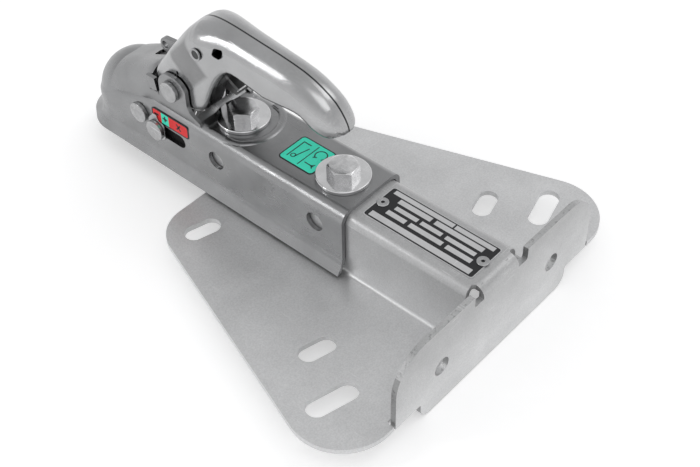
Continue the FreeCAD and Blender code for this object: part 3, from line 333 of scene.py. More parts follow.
finishes = {
    "zinc_steel": {
        "colour": (0.305, 0.307, 0.311), "gloss": (0.24, 0.37), "speck": (1300, 0.05), "cloud": (38, 0.09),
        "scuff": 0.14, "bump": 0.04,
    },
    "handle_zinc": {
        "colour": (0.44, 0.442, 0.446), "gloss": (0.15, 0.26), "speck": (1300, 0.05), "cloud": (34, 0.08),
        "scuff": 0.35, "bump": 0.12, "seam": (0.00040, 0.00075),
        # the patch below is a painted dark reflection on both cheeks
        "patch": {"centre": (0.0808, 0.0690), "turn": -42, "half": (0.0140, 0.0115), "dim": 0.42, "soft": 0.0016},
    },
    "galvanised_steel": {
        "colour": (0.62, 0.622, 0.625), "gloss": (0.34, 0.46), "speck": (950, 0.09), "cloud": (30, 0.06),
        # the last entry paints light by height: lighter on the low wings, darker on the high box
        "scuff": 0.30, "bump": 0.20, "metal": 0.80, "paintedHeightLight": (-0.030, 0.018, 1.12, 0.78),
    },
    "bolt_zinc": {
        "colour": (0.66, 0.66, 0.665), "gloss": (0.12, 0.28), "speck": (1100, 0.08), "cloud": (160, 0.16),
        "scuff": 0.9, "bump": 0.10,
    },
    "washer_zinc": {
        "colour": (0.74, 0.74, 0.745), "gloss": (0.06, 0.13), "speck": (1200, 0.03), "cloud": (90, 0.07),
        "scuff": 0.35, "bump": 0.03,
    },
    "pin_zinc": {
        "colour": (0.43, 0.432, 0.436), "gloss": (0.24, 0.38), "speck": (1300, 0.07), "cloud": (170, 0.14),
        "scuff": 0.9, "bump": 0.10,
    },
    "spring_steel": {
        "colour": (0.24, 0.24, 0.245), "gloss": (0.24, 0.36), "speck": (1500, 0.06), "cloud": (120, 0.12),
        "scuff": 0.2, "bump": 0.05,
    },
    "cast_jaw": {
        "colour": (0.22, 0.22, 0.222), "gloss": (0.42, 0.60), "speck": (520, 0.16), "cloud": (90, 0.14),
        "scuff": 0.2, "bump": 0.35,
    },
    "plate_metal": {
        "colour": (0.66, 0.66, 0.665), "gloss": (0.30, 0.42), "speck": (1500, 0.04), "cloud": (120, 0.04),
        "scuff": 0.3, "bump": 0.05,
    },
}
# scratch, polish and nick are wear; hidden and the dark tone paint shade into the marked faces
metalWearAndShade = {
    "scratch": 1.45, "polish": 0.06, "nick": 0.16, "hidden": 0.86, "seam": 0.95, "darkTone": (0.04, 0.04, 0.04),
    "grain": 0.0004,
}


def seamShade(tree, place, widths):
    # the dark joint between the two halves, along the middle plane
    away = math2(tree, "ABSOLUTE", axis(tree, place, "X"), 0.0)
    return remap(tree, away, *widths, metalWearAndShade["seam"], 0.0)


def paintedCheekReflection(tree, place, values):
    # painted dark reflection: a soft flat patch on both cheeks, darkened
    turned = add(tree, "ShaderNodeMapping", vector_type="TEXTURE", Location=(0,) + values["centre"],
                 Rotation=(math.radians(values["turn"]), 0, 0))
    link(tree, place, turned.inputs["Vector"])
    shade = 1.0
    for name, half in zip(("Y", "Z"), values["half"]):
        away = math2(tree, "ABSOLUTE", axis(tree, turned.outputs[0], name), 0.0)
        side = remap(tree, away, half - values["soft"], half + values["soft"], values["dim"], 0.0)
        shade = math2(tree, "MINIMUM", shade, side)
    return shade


def closeSurface(tree, shader, colour, rough, height, strength, depth):
    link(tree, colour, shader.inputs["Base Color"])
    link(tree, rough, shader.inputs["Roughness"])
    bump = add(tree, "ShaderNodeBump", Strength=strength, Distance=depth)
    link(tree, height, bump.inputs["Height"])
    link(tree, bump.outputs[0], shader.inputs["Normal"])
    link(tree, shader.outputs[0], add(tree, "ShaderNodeOutputMaterial").inputs["Surface"])


def makeMetal(name, values):
    material = newMaterial(name)
    tree = material.node_tree
    shader = add(tree, "ShaderNodeBsdfPrincipled", Metallic=values.get("metal", 1.0))
    place = add(tree, "ShaderNodeTexCoord").outputs["Object"]
    colour = values["colour"]
    grain = useGroup(tree, grainGroup, place, **{
        "Speck Scale": values["speck"][0], "Speck": values["speck"][1],
        "Cloud Scale": values["cloud"][0], "Cloud": values["cloud"][1]})
    scuffs = useGroup(tree, scuffGroup, place, Amount=values["scuff"])["Mask"]
    gloss = useGroup(tree, smearGroup, place, Low=values["gloss"][0], High=values["gloss"][1])["Gloss"]
    nicks = useGroup(tree, nickGroup, place, Edge=faceMark(tree, "cutEdge"))["Mask"]
    tone = grain["Tone"]
    if "paintedHeightLight" in values:
        # painted light: the colour is lighter low down on the wings and darker high up on the box
        tone = math2(tree, "MULTIPLY", tone, remap(tree, axis(tree, place, "Z"), *values["paintedHeightLight"]))
    skin = mixed(tree, 1.0, colour, tone, "MULTIPLY")
    skin = mixed(tree, scuffs, skin, tuple(min(1.0, part * metalWearAndShade["scratch"]) for part in colour))
    skin = mixed(tree, nicks, skin, tuple(part * metalWearAndShade["nick"] for part in colour))
    # painted shade on the marked faces, the dark seam joint and the painted dark reflection on the cheeks all
    # darken the colour
    shade = math2(tree, "MULTIPLY", faceMark(tree, "paintedShade"), metalWearAndShade["hidden"])
    if "seam" in values:
        shade = math2(tree, "MAXIMUM", shade, seamShade(tree, place, values["seam"]))
    if "patch" in values:
        shade = math2(tree, "MAXIMUM", shade, paintedCheekReflection(tree, place, values["patch"]))
    skin = mixed(tree, shade, skin, metalWearAndShade["darkTone"], "MULTIPLY")
    rough = math2(tree, "SUBTRACT", gloss, math2(tree, "MULTIPLY", scuffs, metalWearAndShade["polish"]), True)
    closeSurface(tree, shader, skin, rough, grain["Height"], values["bump"], metalWearAndShade["grain"])
    return material


# Print and plastic

paints = {
    "black_print": {"colour": (0.022, 0.022, 0.024), "gloss": (0.28, 0.42), "speck": 0.10},
    "teal_label": {"colour": (0.058, 0.80, 0.56), "gloss": (0.36, 0.50), "speck": 0.05},
    "red_label": {"colour": (0.80, 0.033, 0.036), "gloss": (0.36, 0.50), "speck": 0.05},
    # painted shade: a near-black colour for the sheets that darken the slots
    "painted_shade_black": {"colour": (0.006, 0.006, 0.006), "gloss": (0.70, 0.85), "speck": 0.12},
}
paintSkin = {"shine": 0.25, "speckScale": 2200.0, "cloudScale": 120.0, "bump": 0.06, "grain": 0.0002}


def makePaint(name, values):
    material = newMaterial(name)
    tree = material.node_tree
    shader = add(tree, "ShaderNodeBsdfPrincipled", Metallic=0.0, **{"Specular IOR Level": paintSkin["shine"]})
    place = add(tree, "ShaderNodeTexCoord").outputs["Object"]
    grain = useGroup(tree, grainGroup, place, **{
        "Speck Scale": paintSkin["speckScale"], "Speck": values["speck"],
        "Cloud Scale": paintSkin["cloudScale"], "Cloud": values["speck"]})
    gloss = useGroup(tree, smearGroup, place, Low=values["gloss"][0], High=values["gloss"][1])["Gloss"]
    skin = mixed(tree, 1.0, values["colour"], grain["Tone"], "MULTIPLY")
    closeSurface(tree, shader, skin, gloss, grain["Height"], paintSkin["bump"], paintSkin["grain"])
    return material


materials = {name: makeMetal(name, values) for name, values in finishes.items()}
materials.update({name: makePaint(name, values) for name, values in paints.items()})
print("finishes made")


# Modelling helpers

softEdges = {"merge": 0.000004, "flat": 1.0, "angle": 32, "lean": 90}


def only(piece):
    deselect()
    piece.select_set(True)
    bpy.context.view_layer.objects.active = piece


def editMesh(piece, kind="FACE"):
    only(piece)
    bpy.ops.object.mode_set(mode="EDIT")
    bpy.ops.mesh.select_mode(type=kind)
    bpy.ops.mesh.select_all(action="DESELECT")
    return bmesh.from_edit_mesh(piece.data)


def leaveEdit():
    bpy.ops.object.mode_set(mode="OBJECT")


def pick(piece, mesh, items, test):
    for item in items:
        item.select_set(bool(test(item)))
    mesh.select_flush_mode()
    bmesh.update_edit_mesh(piece.data)


def pickFaces(piece, test):
    mesh = bmesh.from_edit_mesh(piece.data)
    pick(piece, mesh, mesh.faces, test)


def moveVerts(piece, test, value):
    mesh = bmesh.from_edit_mesh(piece.data)
    pick(piece, mesh, mesh.verts, test)
    bpy.ops.transform.translate(value=value)


def extrude(value):
    bpy.ops.mesh.extrude_region_move(TRANSFORM_OT_translate={"value": value})


def thicken(value):
    # the whole flat mesh becomes a closed solid
    bpy.ops.mesh.select_all(action="SELECT")
    extrude(value)
    bpy.ops.mesh.select_all(action="SELECT")
    bpy.ops.mesh.normals_make_consistent(inside=False)
    leaveEdit()


def cutAway(piece, cutter, name):
    only(piece)
    cut = piece.modifiers.new(name, "BOOLEAN")
    cut.operation = "DIFFERENCE"
    cut.solver = "EXACT"
    cut.object = cutter
    bpy.ops.object.modifier_apply(modifier=cut.name)
    only(cutter)
    bpy.ops.object.delete()


def bevelAll(piece, values):
    only(piece)
    rounding = piece.modifiers.new("edgeRound", "BEVEL")
    rounding.width = values["width"]
    rounding.segments = values["segments"]
    rounding.limit_method = "ANGLE"
    rounding.angle_limit = math.radians(values.get("angle", softEdges["angle"]))
    rounding.miter_outer = "MITER_ARC"
    bpy.ops.object.modifier_apply(modifier=rounding.name)


def smoothAll(piece, crease=None):
    only(piece)
    if crease:
        bpy.ops.object.shade_smooth_by_angle(angle=math.radians(crease))
        return
    bpy.ops.object.shade_smooth()
    leaning = piece.modifiers.new("faceLean", "WEIGHTED_NORMAL")
    leaning.keep_sharp = False
    leaning.weight = softEdges["lean"]
    bpy.ops.object.modifier_apply(modifier=leaning.name)


def settle(piece, turn=None, place=None):
    # turn and place go into the mesh
    if turn:
        piece.rotation_euler = [math.radians(angle) for angle in turn]
    if place:
        piece.location = place
    only(piece)
    bpy.ops.object.transform_apply(location=True, rotation=True, scale=True)


def dress(piece, finish):
    piece.data.materials.clear()
    piece.data.materials.append(materials[finish])


def softCopy(nodeName, pieceName, body, finish, values, shape=None):
    # a worked copy of a solid: merged, cleaned to whole faces, shaped, then every hard edge rounded
    only(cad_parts[nodeName])
    bpy.ops.object.duplicate()
    piece = bpy.context.object
    piece.name = pieceName
    piece.data.name = pieceName
    editMesh(piece, "VERT")
    bpy.ops.mesh.select_all(action="SELECT")
    bpy.ops.mesh.remove_doubles(threshold=softEdges["merge"])
    bpy.ops.mesh.mark_sharp(clear=True)
    bpy.ops.mesh.dissolve_limited(angle_limit=math.radians(softEdges["flat"]))
    leaveEdit()
    if shape:
        shape(piece)
    bevelAll(piece, values)
    smoothAll(piece, values.get("crease"))
    dress(piece, finish)
    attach(piece, body)
    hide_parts(nodeName)
    return piece


def markInside(piece, test):
    # painted shade: surfaces that face the hollow are marked, to be darkened as if out of the light
    marks = piece.data.attributes.new("paintedShade", "FLOAT", "FACE")
    for face, mark in zip(piece.data.polygons, marks.data):
        mark.value = 1.0 if test(face.center, face.normal) else 0.0


# Bent bracket

bracketSheet = {
    "width": 0.0006, "segments": 2, "angle": 40,
    "wingEdge": (-0.0459, -0.0401), "flangeEdge": (0.3191, 0.3249), "lean": 0.3, "lit": 0.5, "dim": 0.45,
}


def markCutEdges(piece, values):
    # the sheet's cut faces, seen as narrow strips round the wings and the rear flange
    low, high = values["wingEdge"]
    front, back = values["flangeEdge"]
    for name in ("cutEdge", "paintedShade"):
        piece.data.attributes.new(name, "FLOAT", "FACE")
    marks = piece.data.attributes["cutEdge"].data
    shades = piece.data.attributes["paintedShade"].data
    for face, mark, shade in zip(piece.data.polygons, marks, shades):
        wing = low < face.center.z < high and abs(face.normal.z) < values["lean"]
        flange = front < face.center.y < back and abs(face.normal.y) < values["lean"]
        mark.value = 1.0 if wing or flange else 0.0
        # cut faces that do not face up are darkened: partly their laser-cut oxide, partly painted shade
        shade.value = values["dim"] if (wing or flange) and face.normal.z < values["lit"] else 0.0


bracket = softCopy("drawbar_bracket", "bracketSheet", "head", "galvanised_steel", bracketSheet)
markCutEdges(bracket, bracketSheet)


# Pressed head

headShell = {"width": 0.0005, "segments": 2, "angle": 30}
headHollow = {
    "wallX": 0.015, "outerX": 0.0215, "wallTop": 0.0235, "wallTurn": -0.003,
    "roofZ": 0.012, "roofTurn": -0.4,
    "bowlY": 0.028, "bowlZ": -0.016, "bowlTurn": -0.002,
}
hoodCheek = {
    "rim": (0.0400, 0.0432), "inner": 0.0222, "low": 0.0335, "turn": 0.8, "slack": 0.0001, "past": 0.001,
    "reach": 0.0025, "sideReach": 0.0058, "drop": 0.0029, "foot": (0.0345, 0.0375),
    "corner": (0.0103, 0.0328), "round": 0.0136, "roll": 0.0021, "band": 0.0006, "rollZ": 0.040, "rollX": 0.0258,
}
earFoot = {
    "line": [(0.0796, 0.0640), (0.0800, 0.0365), (0.0808, 0.0335), (0.0828, 0.0308), (0.0860, 0.0288),
             (0.0935, 0.0258), (0.1060, 0.0257), (0.1060, 0.0640)],
    "inner": 0.0215, "outer": 0.0262,
}
topBead = {
    "centre": 0.1080, "top": 0.0255, "ring": (0.0195, 0.0285), "layer": (-0.00005, 0.0015),
    "shift": 0.0024, "rise": 1.3, "ends": (16, 38),
}
skirtBend = {"at": -0.0170, "slack": 0.0003, "flare": 0.25, "upright": 0.1, "width": 0.0026, "segments": 4,
             "profile": 0.5}


def headInside(centre, normal):
    # painted shade on the head's inner walls, the roof's underside and the inside of the bowl
    hollow = headHollow
    across = abs(centre.x)
    wall = (across > hollow["wallX"] and centre.x * normal.x < hollow["wallTurn"]
            and (centre.z < hollow["wallTop"] or across > hollow["outerX"]))
    roof = centre.z > hollow["roofZ"] and normal.z < hollow["roofTurn"]
    bowl = centre.y < hollow["bowlY"] and centre.z > hollow["bowlZ"] and normal.dot(centre) < hollow["bowlTurn"]
    return wall or roof or bowl


def shapeBead(piece, values):
    # the bead behind the front bolt stands a little further out and higher
    near, far = values["ring"]
    start, full = values["ends"]
    under, over = (values["top"] + step for step in values["layer"])
    for vertex in piece.data.vertices:
        x, y, z = vertex.co
        back = y - values["centre"]
        reach = math.hypot(x, back)
        angle = math.degrees(math.atan2(back, abs(x)))
        if near < reach < far and angle > start and under < z < over:
            amount = min(1.0, (angle - start) / (full - start))
            out = 1 + values["shift"] * amount / reach
            vertex.co.x = x * out
            vertex.co.y = values["centre"] + back * out
            vertex.co.z = values["top"] + (z - values["top"]) * (1 + (values["rise"] - 1) * amount)


def softenSkirt(piece, values):
    # the side runs into its flared skirt in a soft bend
    mesh = editMesh(piece, "EDGE")

    def bendEdge(edge):
        level = all(abs(vertex.co.z - values["at"]) <= values["slack"] for vertex in edge.verts)
        if len(edge.link_faces) != 2 or not level:
            return False
        lower, upper = sorted(edge.link_faces, key=lambda face: face.calc_center_median().z)
        return lower.normal.z > values["flare"] and abs(upper.normal.z) < values["upright"]
    pick(piece, mesh, mesh.edges, bendEdge)
    bpy.ops.mesh.bevel(offset=values["width"], segments=values["segments"], profile=values["profile"],
                       affect="EDGES")
    leaveEdit()


def extendHood(piece, values):
    # the rolled rim comes forward, and the hood's sides run on and leave only a small notch at the ears
    editMesh(piece)
    for side in (-1, 1):
        bpy.ops.mesh.select_all(action="SELECT")
        bpy.ops.mesh.bisect(plane_co=(side * values["inner"], 0, 0), plane_no=(1, 0, 0))
    low, high = values["rim"]
    reach = values["reach"]

    def rimFace(face):
        middle = face.calc_center_median()
        return face.normal.y > values["turn"] and low < middle.y < high and middle.z > values["low"]

    def outerRim(vertex):
        x, y, z = vertex.co
        arm = math.hypot(max(0.0, abs(x) - values["corner"][0]), max(0.0, z - values["corner"][1]))
        front = high - values["band"] + reach < y < high + reach + values["past"]
        return front and arm > values["round"] and z > values["rollZ"] and abs(x) < values["rollX"]

    def sideRim(face):
        return rimFace(face) and abs(face.calc_center_median().x) > values["inner"]

    def cheekFoot(vertex):
        x, y, z = vertex.co
        bottom, top = values["foot"]
        outside = abs(x) > values["inner"] - values["slack"] and bottom < z < top
        return outside and low < y < high + values["sideReach"] + values["past"]
    pickFaces(piece, rimFace)
    extrude((0, reach, 0))
    moveVerts(piece, outerRim, (0, -values["roll"], 0))
    low, high = low + reach, high + reach
    pickFaces(piece, sideRim)
    extrude((0, values["sideReach"], 0))
    moveVerts(piece, cheekFoot, (0, 0, -values["drop"]))
    leaveEdit()


def cutEarFoot(piece, side, values):
    # the ear's rear edge drops steeply and runs into the ramp behind the mouth
    deselect()
    bpy.ops.mesh.primitive_circle_add(vertices=len(values["line"]), fill_type="NGON",
                                      rotation=(0, math.radians(90), 0))
    cutter = bpy.context.object
    bpy.ops.object.transform_apply(rotation=True)
    for vertex, (y, z) in zip(cutter.data.vertices, values["line"]):
        vertex.co = (side * values["inner"], y, z)
    editMesh(cutter)
    thicken((side * (values["outer"] - values["inner"]), 0, 0))
    cutAway(piece, cutter, "earFoot")


def shapeHead(piece):
    shapeBead(piece, topBead)
    softenSkirt(piece, skirtBend)
    extendHood(piece, hoodCheek)
    for side in (-1, 1):
        cutEarFoot(piece, side, earFoot)


head = softCopy("coupling_head", "headShell", "head", "zinc_steel", headShell, shapeHead)
markInside(head, headInside)
print("bracket and head shaped")


# Handle halves and lever plates

handleShell = {"width": 0.0004, "segments": 2, "angle": 34}
handleFront = {"top": 0.062, "full": 0.050, "rear": (0.052, 0.060), "push": 0.0033}
handleHollow = {
    "wallX": 0.006, "wallTurn": -0.002,
    "roofX": 0.016, "roofY": 0.12, "roofZ": 0.050, "roofTurn": -0.5,
    "throatX": 0.0185, "throatY": (0.080, 0.106), "throatZ": 0.058, "throatTurn": 0.3,
}
cheekHole = {"centre": (0.0702, 0.0572), "size": (0.0022, 0.0034), "sides": 24, "depth": 0.06}
leverPlate = {"width": 0.0004, "segments": 2, "flat": 0.9, "hidden": 0.022}


def shapeHandle(piece):
    # the cheeks' lower front edges come forward, and a small oval hole goes through them
    near, far = handleFront["rear"]
    for vertex in piece.data.vertices:
        y, z = vertex.co.yz
        high = min(1.0, max(0.0, (handleFront["top"] - z) / (handleFront["top"] - handleFront["full"])))
        front = min(1.0, max(0.0, (far - y) / (far - near)))
        vertex.co.y -= handleFront["push"] * high * front
    deselect()
    bpy.ops.mesh.primitive_cylinder_add(
        vertices=cheekHole["sides"], radius=1, depth=cheekHole["depth"],
        location=(0,) + cheekHole["centre"], rotation=(0, math.radians(90), 0))
    cutter = bpy.context.object
    wide, tall = cheekHole["size"]
    cutter.scale = (tall / 2, wide / 2, 1)
    settle(cutter)
    cutAway(piece, cutter, "cheekHole")


def handleInside(centre, normal):
    # painted shade on the handle's inner walls, the underside of its roof and its throat
    hollow = handleHollow
    across = abs(centre.x)
    wall = across > hollow["wallX"] and centre.x * normal.x < hollow["wallTurn"]
    roof = (centre.z > hollow["roofZ"] and normal.z < hollow["roofTurn"]
            and across < hollow["roofX"] and centre.y < hollow["roofY"])
    front, back = hollow["throatY"]
    throat = (normal.y > hollow["throatTurn"] and front < centre.y < back
              and centre.z < hollow["throatZ"] and across < hollow["throatX"])
    return wall or roof or throat


def plateInside(centre, normal):
    # painted shade: the broad faces are dark behind their bright edges, and so is all that lies low inside the
    # head
    return abs(normal.x) > leverPlate["flat"] or centre.z < leverPlate["hidden"]


for side in ("near", "far"):
    shell = softCopy("handle_shell_" + side, "handleShell" + side.title(), "handle", "handle_zinc",
                     handleShell, shapeHandle)
    markInside(shell, handleInside)
    plate = softCopy("lever_plate_" + side, "leverPlate" + side.title(), "handle", "plate_metal",
                     leverPlate)
    markInside(plate, plateInside)


# Lug plate with the padlock hole

lugPlate = {"width": 0.0004, "segments": 2}
lugEnd = {"depth": 0.004, "centre": 0.0080, "round": 0.0046, "outer": 0.0095, "back": 0.004, "pull": 0.52}


def trimLug(piece):
    # the end round the padlock hole is a little slimmer
    points = [vertex.co for vertex in piece.data.vertices]
    tip = min(point.y for point in points)
    ends = [point.z for point in points if point.y < tip + lugEnd["depth"]]
    centre = Vector((0, tip + lugEnd["centre"], sum(ends) / len(ends)))
    for point in points:
        arm = Vector((0, point.y - centre.y, point.z - centre.z))
        if lugEnd["round"] < arm.length < lugEnd["outer"] and arm.y < lugEnd["back"]:
            arm *= (lugEnd["round"] + (arm.length - lugEnd["round"]) * lugEnd["pull"]) / arm.length
            point.y, point.z = centre.y + arm.y, centre.z + arm.z


softCopy("lug_plate", "lugPlate", "handle", "zinc_steel", lugPlate, trimLug)


# Safety catch

safetyCatch = {"width": 0.0006, "segments": 3}
fingerTab = {
    "from": 0.0935, "under": 0.056, "widen": 1.45, "tip": 0.1000, "reach": 0.0035,
    "flat": 0.9, "darkFrom": 0.096, "level": 0.93,
}


def shapeCatch(piece):
    # the finger tab is broader than the catch's stem
    for vertex in piece.data.vertices:
        if vertex.co.y > fingerTab["from"] and vertex.co.z < fingerTab["under"]:
            vertex.co.x *= fingerTab["widen"]
            if vertex.co.y > fingerTab["tip"]:
                vertex.co.y += fingerTab["reach"]


def tabInside(centre, normal):
    # painted shade on the tab's sides and on its level faces towards the finger end
    side = abs(normal.x) > fingerTab["flat"]
    level = abs(normal.z) > fingerTab["level"] or normal.y > fingerTab["flat"]
    return side or centre.y > fingerTab["darkFrom"] and level


catch = softCopy("safety_catch", "safetyCatch", "catch", "plate_metal", safetyCatch, shapeCatch)
markInside(catch, tabInside)
print("handle, levers and catch shaped")


# Bolts, nuts and washers

hexBolt = {"width": 0.0003, "segments": 1, "angle": 26, "crease": 14}
largeWasher = {"width": 0.0007, "segments": 3}
hexNut = {"width": 0.0003, "segments": 1, "angle": 26, "crease": 14}
smallWasher = {"width": 0.0004, "segments": 2}

for place in ("front", "rear"):
    for end, title, finish, values in (
            ("_bolt", "Bolt", "bolt_zinc", hexBolt), ("_bolt_washer", "BoltWasher", "washer_zinc", largeWasher),
            ("_nut", "Nut", "bolt_zinc", hexNut), ("_nut_washer", "NutWasher", "washer_zinc", smallWasher)):
        softCopy(place + end, place + title, "head", finish, values)
print("bolts, nuts and washers shaped")


# Pins and rivets, their ends dished

pins = [
    {"node": "clamp_rivet", "name": "clampRivet", "body": "head", "width": 0.0007, "dish": (0.0030, 0.0002)},
    {"node": "indicator_pin", "name": "indicatorPin", "body": "indicator", "width": 0.0006,
     "dish": (0.0028, 0.0002)},
    {"node": "handle_pivot_pin", "name": "handlePivotPin", "body": "handle", "width": 0.0007,
     "dish": (0.0030, 0.0003)},
    {"node": "handle_rivet", "name": "handleRivet", "body": "handle", "width": 0.0006, "dish": (0.0019, 0.0012)},
    {"node": "lug_rivet", "name": "lugRivet", "body": "handle", "width": 0.0006, "dish": (0.0018, 0.0003)},
]
pinEnd = {"segments": 3, "flat": 0.99, "slack": 0.0001}
pinShade = {"top": 0.030, "half": 0.0215, "deep": 0.0005, "flat": 0.9, "end": 0.002, "share": 0.5}


def dishEnds(inset, depth):
    def shape(piece):
        for side in (-1, 1):
            mesh = editMesh(piece)
            reach = max(abs(vertex.co.x) for vertex in mesh.verts) - pinEnd["slack"]
            pickFaces(piece, lambda face: face.normal.x * side > pinEnd["flat"]
                      and abs(face.calc_center_median().x) > reach)
            bpy.ops.mesh.inset(thickness=inset)
            bpy.ops.transform.translate(value=(-side * depth, 0, 0))
            leaveEdit()
    return shape


def pinInside(reach, depth):
    # painted shade on the middle inside the walls, and on the floor of a deep dish
    def test(centre, normal):
        across = abs(centre.x)
        middle = centre.z < pinShade["top"] and across < pinShade["half"]
        floor = (depth > pinShade["deep"] and abs(normal.x) > pinShade["flat"]
                 and reach - pinShade["end"] < across < reach - depth * pinShade["share"])
        return middle or floor
    return test


for pin in pins:
    piece = softCopy(pin["node"], pin["name"], pin["body"], "pin_zinc",
                     {"width": pin["width"], "segments": pinEnd["segments"]}, dishEnds(*pin["dish"]))
    markInside(piece, pinInside(max(vertex.co.x for vertex in piece.data.vertices), pin["dish"][1]))


# Rollers, pointer, jaw and springs

lockingRoller = {"width": 0.0005, "segments": 2}
wearPointer = {"width": 0.0002, "segments": 2}
clampJaw = {"width": 0.0006, "segments": 2}

for side in ("near", "far"):
    softCopy("locking_roller_" + side, "lockingRoller" + side.title(), "indicator", "pin_zinc",
             lockingRoller)
softCopy("wear_pointer", "wearPointer", "indicator", "pin_zinc", wearPointer)
softCopy("ball_clamp_jaw", "ballClampJaw", "jaw", "cast_jaw", clampJaw)
# the springs keep their solids
for name in ("handle_spring", "catch_spring", "jaw_spring"):
    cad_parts[name].material_slots[0].material = materials["spring_steel"]
print("pins, rollers, pointer and jaw shaped")


# Flat work: thin slabs and rings laid on each other

cornerSteps = 6
ringSides = 48


def slab(values, height, level):
    # a thin rounded plate, made flat at the origin
    deselect()
    bpy.ops.mesh.primitive_plane_add(size=1, location=(0, 0, 0))
    piece = bpy.context.object
    width, depth = values["size"]
    x, y = values.get("at", (0, 0))
    editMesh(piece)
    bpy.ops.mesh.select_all(action="SELECT")
    bpy.ops.transform.resize(value=(width, depth, 1))
    if "turn" in values:
        bpy.ops.transform.rotate(value=math.radians(values["turn"]), orient_axis="Z", center_override=(0, 0, 0))
    bpy.ops.transform.translate(value=(x, y, level))
    if "round" in values:
        bpy.ops.mesh.bevel(offset=values["round"], segments=cornerSteps, affect="VERTICES")
    thicken((0, 0, height))
    return piece


def ring(values, height, level):
    # a flat ring, or an arc of it between two angles
    deselect()
    x, y = values["at"]
    low, high = values.get("span", (0, 360))
    bpy.ops.mesh.primitive_circle_add(vertices=ringSides, radius=values["radius"], fill_type="NGON",
                                      location=(x, y, level))
    piece = bpy.context.object
    editMesh(piece)
    bpy.ops.mesh.select_all(action="SELECT")
    bpy.ops.mesh.inset(thickness=values["line"])
    bpy.ops.mesh.delete(type="FACE")

    def outside(face):
        middle = face.calc_center_median()
        return not low <= math.degrees(math.atan2(middle.y, middle.x)) % 360 <= high
    pickFaces(piece, outside)
    bpy.ops.mesh.delete(type="FACE")
    thicken((0, 0, height))
    settle(piece)
    return piece


def printLayers(values):
    # each layer's slabs and rings become one piece on the label
    for part in values["layers"]:
        made = [(ring if "radius" in shape else slab)(shape, part["height"], part["level"])
                for shape in part["shapes"]]
        deselect()
        for piece in made:
            piece.select_set(True)
        bpy.context.view_layer.objects.active = made[0]
        if len(made) > 1:
            bpy.ops.object.join()
        piece = bpy.context.object
        piece.name = values["name"] + part["name"]
        piece.data.name = piece.name
        settle(piece, values["turn"], values["place"])
        dress(piece, part["finish"])
        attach(piece, "head")
        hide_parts(values["node"])


# Painted shade: near-black sheets on the indicator pin close its slots from the inside, standing in for the shade
# there

slotShadeSheet = {
    "thick": 0.0003, "x": 0.0251, "turn": (90, 0, 90),
    "plates": [  # the second one passes under the clamp rivet
        {"name": "slotShadeSheet", "size": (0.0318, 0.0180), "round": 0.0010, "place": (0.0592, -0.0020)},
        {"name": "slotShadeSheetFront", "size": (0.0214, 0.0150), "round": 0.0010, "place": (0.0325, -0.0035)},
    ],
}


def makeSlotShadeSheet(side, x, plate, values):
    piece = slab(plate, values["thick"], 0.0)
    piece.name = plate["name"] + side
    settle(piece, values["turn"], (x,) + plate["place"])
    # painted shade: the sheet is near black
    dress(piece, "painted_shade_black")
    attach(piece, "indicator")


for side, x in (("Near", slotShadeSheet["x"]), ("Far", -slotShadeSheet["x"] - slotShadeSheet["thick"])):
    for plate in slotShadeSheet["plates"]:
        makeSlotShadeSheet(side, x, plate, slotShadeSheet)


# Operation label: black border, teal field, plain marks

operationLabel = {
    "name": "operationLabel", "node": "operation_label", "slot": "teal_label",
    "place": (0, 0.1665, 0.0255), "turn": (0, 0, 0),
    "layers": [
        {"name": "Base", "finish": "black_print", "level": 0.0, "height": 0.0002,
         "shapes": [{"size": (0.0264, 0.0300), "round": 0.0030}]},
        {"name": "Field", "finish": "teal_label", "level": 0.0002, "height": 0.00005,
         "shapes": [{"size": (0.0246, 0.0282), "round": 0.0023}]},
        {"name": "Marks", "finish": "black_print", "level": 0.00024, "height": 0.00005, "shapes": [
            {"size": (0.0218, 0.0007), "at": (0, 0.0008)},
            {"radius": 0.0046, "line": 0.0008, "at": (-0.0052, 0.0074), "span": (40, 330)},
            {"size": (0.0030, 0.0008), "at": (-0.0014, 0.0052), "turn": 58},
            {"size": (0.0008, 0.0078), "at": (0.0062, 0.0070)},
            {"size": (0.0030, 0.0008), "at": (0.0053, 0.0098), "turn": 48},
            {"size": (0.0030, 0.0008), "at": (0.0071, 0.0098), "turn": -48},
            {"size": (0.0175, 0.0008), "at": (0, -0.0104)},
            {"size": (0.0008, 0.0060), "at": (-0.0084, -0.0070)},
            {"size": (0.0120, 0.0008), "at": (0.0006, -0.0044), "turn": 14},
            {"radius": 0.0020, "line": 0.0007, "at": (0.0060, -0.0072)},
        ]},
    ],
}
printLayers(operationLabel)


# Wear label: red, teal and red in a black border, with plain signs

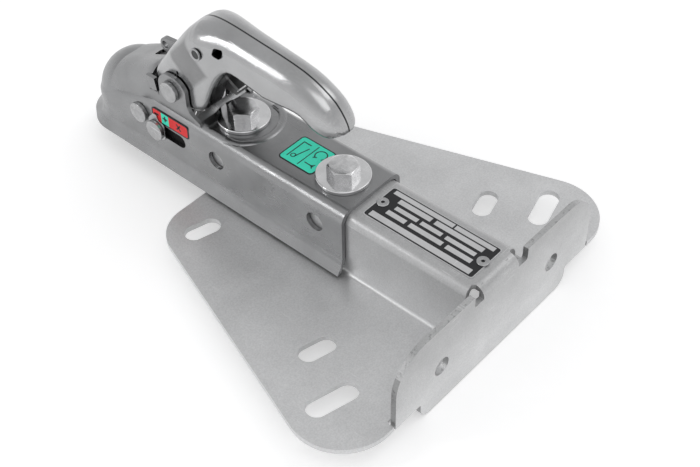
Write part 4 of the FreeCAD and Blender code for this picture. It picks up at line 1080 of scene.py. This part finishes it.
wearLabel = {
    "name": "wearLabel", "node": "wear_label", "slot": "red_label",
    "place": (0.0285, 0.0643, 0.0153), "turn": (90, 0, 90),
    "layers": [
        {"name": "Base", "finish": "black_print", "level": 0.0, "height": 0.0002,
         "shapes": [{"size": (0.0366, 0.0112), "round": 0.0024}]},
        # the red fields' inner ends lie under the teal field
        {"name": "Red", "finish": "red_label", "level": 0.0002, "height": 0.00005, "shapes": [
            {"size": (0.0102, 0.0090), "at": (-0.0121, 0), "round": 0.0016},
            {"size": (0.0206, 0.0090), "at": (0.0068, 0), "round": 0.0016},
        ]},
        {"name": "Teal", "finish": "teal_label", "level": 0.00022, "height": 0.00005,
         "shapes": [{"size": (0.0074, 0.0090), "at": (-0.0052, 0), "round": 0.0001}]},
        {"name": "Marks", "finish": "black_print", "level": 0.00025, "height": 0.00005, "shapes": [
            {"size": (0.0042, 0.0013), "at": (-0.0135, 0.0010)},
            {"size": (0.0046, 0.0013), "at": (-0.0052, 0.0004)},
            {"size": (0.0013, 0.0046), "at": (-0.0052, 0.0004)},
            {"size": (0.0060, 0.0013), "at": (0.0083, 0.0002), "turn": 52},
            {"size": (0.0060, 0.0013), "at": (0.0083, 0.0002), "turn": -52},
        ]},
    ],
}
printLayers(wearLabel)
print("labels made")


# Type plate: bright sheet, black print and bare fields

def plateRows(rows):
    # each row has its place, its width and the spans of its fields along the plate
    return [{"size": (width, high - low), "at": (x, (low + high) / 2)}
            for x, width, spans in rows for low, high in spans]


typePlate = {
    "name": "typePlate", "node": "type_plate", "slot": "black_plate",
    "place": (0, 0.2705, 0.0225), "turn": (0, 0, 0),
    "layers": [
        {"name": "Sheet", "finish": "plate_metal", "level": 0.0, "height": 0.0006,
         "shapes": [{"size": (0.0314, 0.0860), "round": 0.0020}]},
        {"name": "Print", "finish": "black_print", "level": 0.0006, "height": 0.00006,
         "shapes": [{"size": (0.0304, 0.0850), "round": 0.0017}]},
        {"name": "Fields", "finish": "plate_metal", "level": 0.00066, "height": 0.00006, "shapes": plateRows([
            (-0.0124, 0.0036, [(-0.0395, 0.0080), (0.0092, 0.0395)]),
            (-0.0075, 0.0040, [(-0.0320, -0.0060), (-0.0030, 0.0345)]),
            (-0.0014, 0.0034, [(-0.0300, -0.0120), (-0.0095, 0.0070), (0.0100, 0.0330)]),
            (0.0046, 0.0038, [(-0.0320, -0.0170), (-0.0140, 0.0120), (0.0150, 0.0345)]),
            (0.0118, 0.0046, [(-0.0395, 0.0395)]),
        ])},
    ],
}
printLayers(typePlate)


# Hollow rivets of the type plate

hollowRivet = {
    "radius": 0.0041, "sides": 40, "top": 0.0240, "head": 0.0009, "bore": 0.0012, "boreDepth": 0.0014,
    "shank": 0.0020, "base": 0.0185, "width": 0.0006, "segments": 3, "angle": 40, "flat": 0.9,
}


def makeHollowRivet(name, node, y, values):
    deselect()
    depth = values["head"]
    bpy.ops.mesh.primitive_cylinder_add(vertices=values["sides"], radius=values["radius"], depth=depth,
                                        location=(0, y, values["top"] - depth / 2))
    piece = bpy.context.object
    piece.name = name
    settle(piece)
    editMesh(piece)
    pickFaces(piece, lambda face: face.normal.z > values["flat"])
    bpy.ops.mesh.inset(thickness=values["radius"] - values["bore"])
    extrude((0, 0, -values["boreDepth"]))
    pickFaces(piece, lambda face: face.normal.z < -values["flat"])
    bpy.ops.mesh.inset(thickness=values["radius"] - values["shank"])
    extrude((0, 0, values["base"] - values["top"] + depth))
    leaveEdit()
    bevelAll(piece, values)
    smoothAll(piece)
    dress(piece, "pin_zinc")
    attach(piece, "head")
    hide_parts(node)


for name, node, y in (("typePlateRivetFront", "type_plate_rivet_front", 0.2312),
                      ("typePlateRivetRear", "type_plate_rivet_rear", 0.3103)):
    makeHollowRivet(name, node, y, hollowRivet)
print("type plate made")
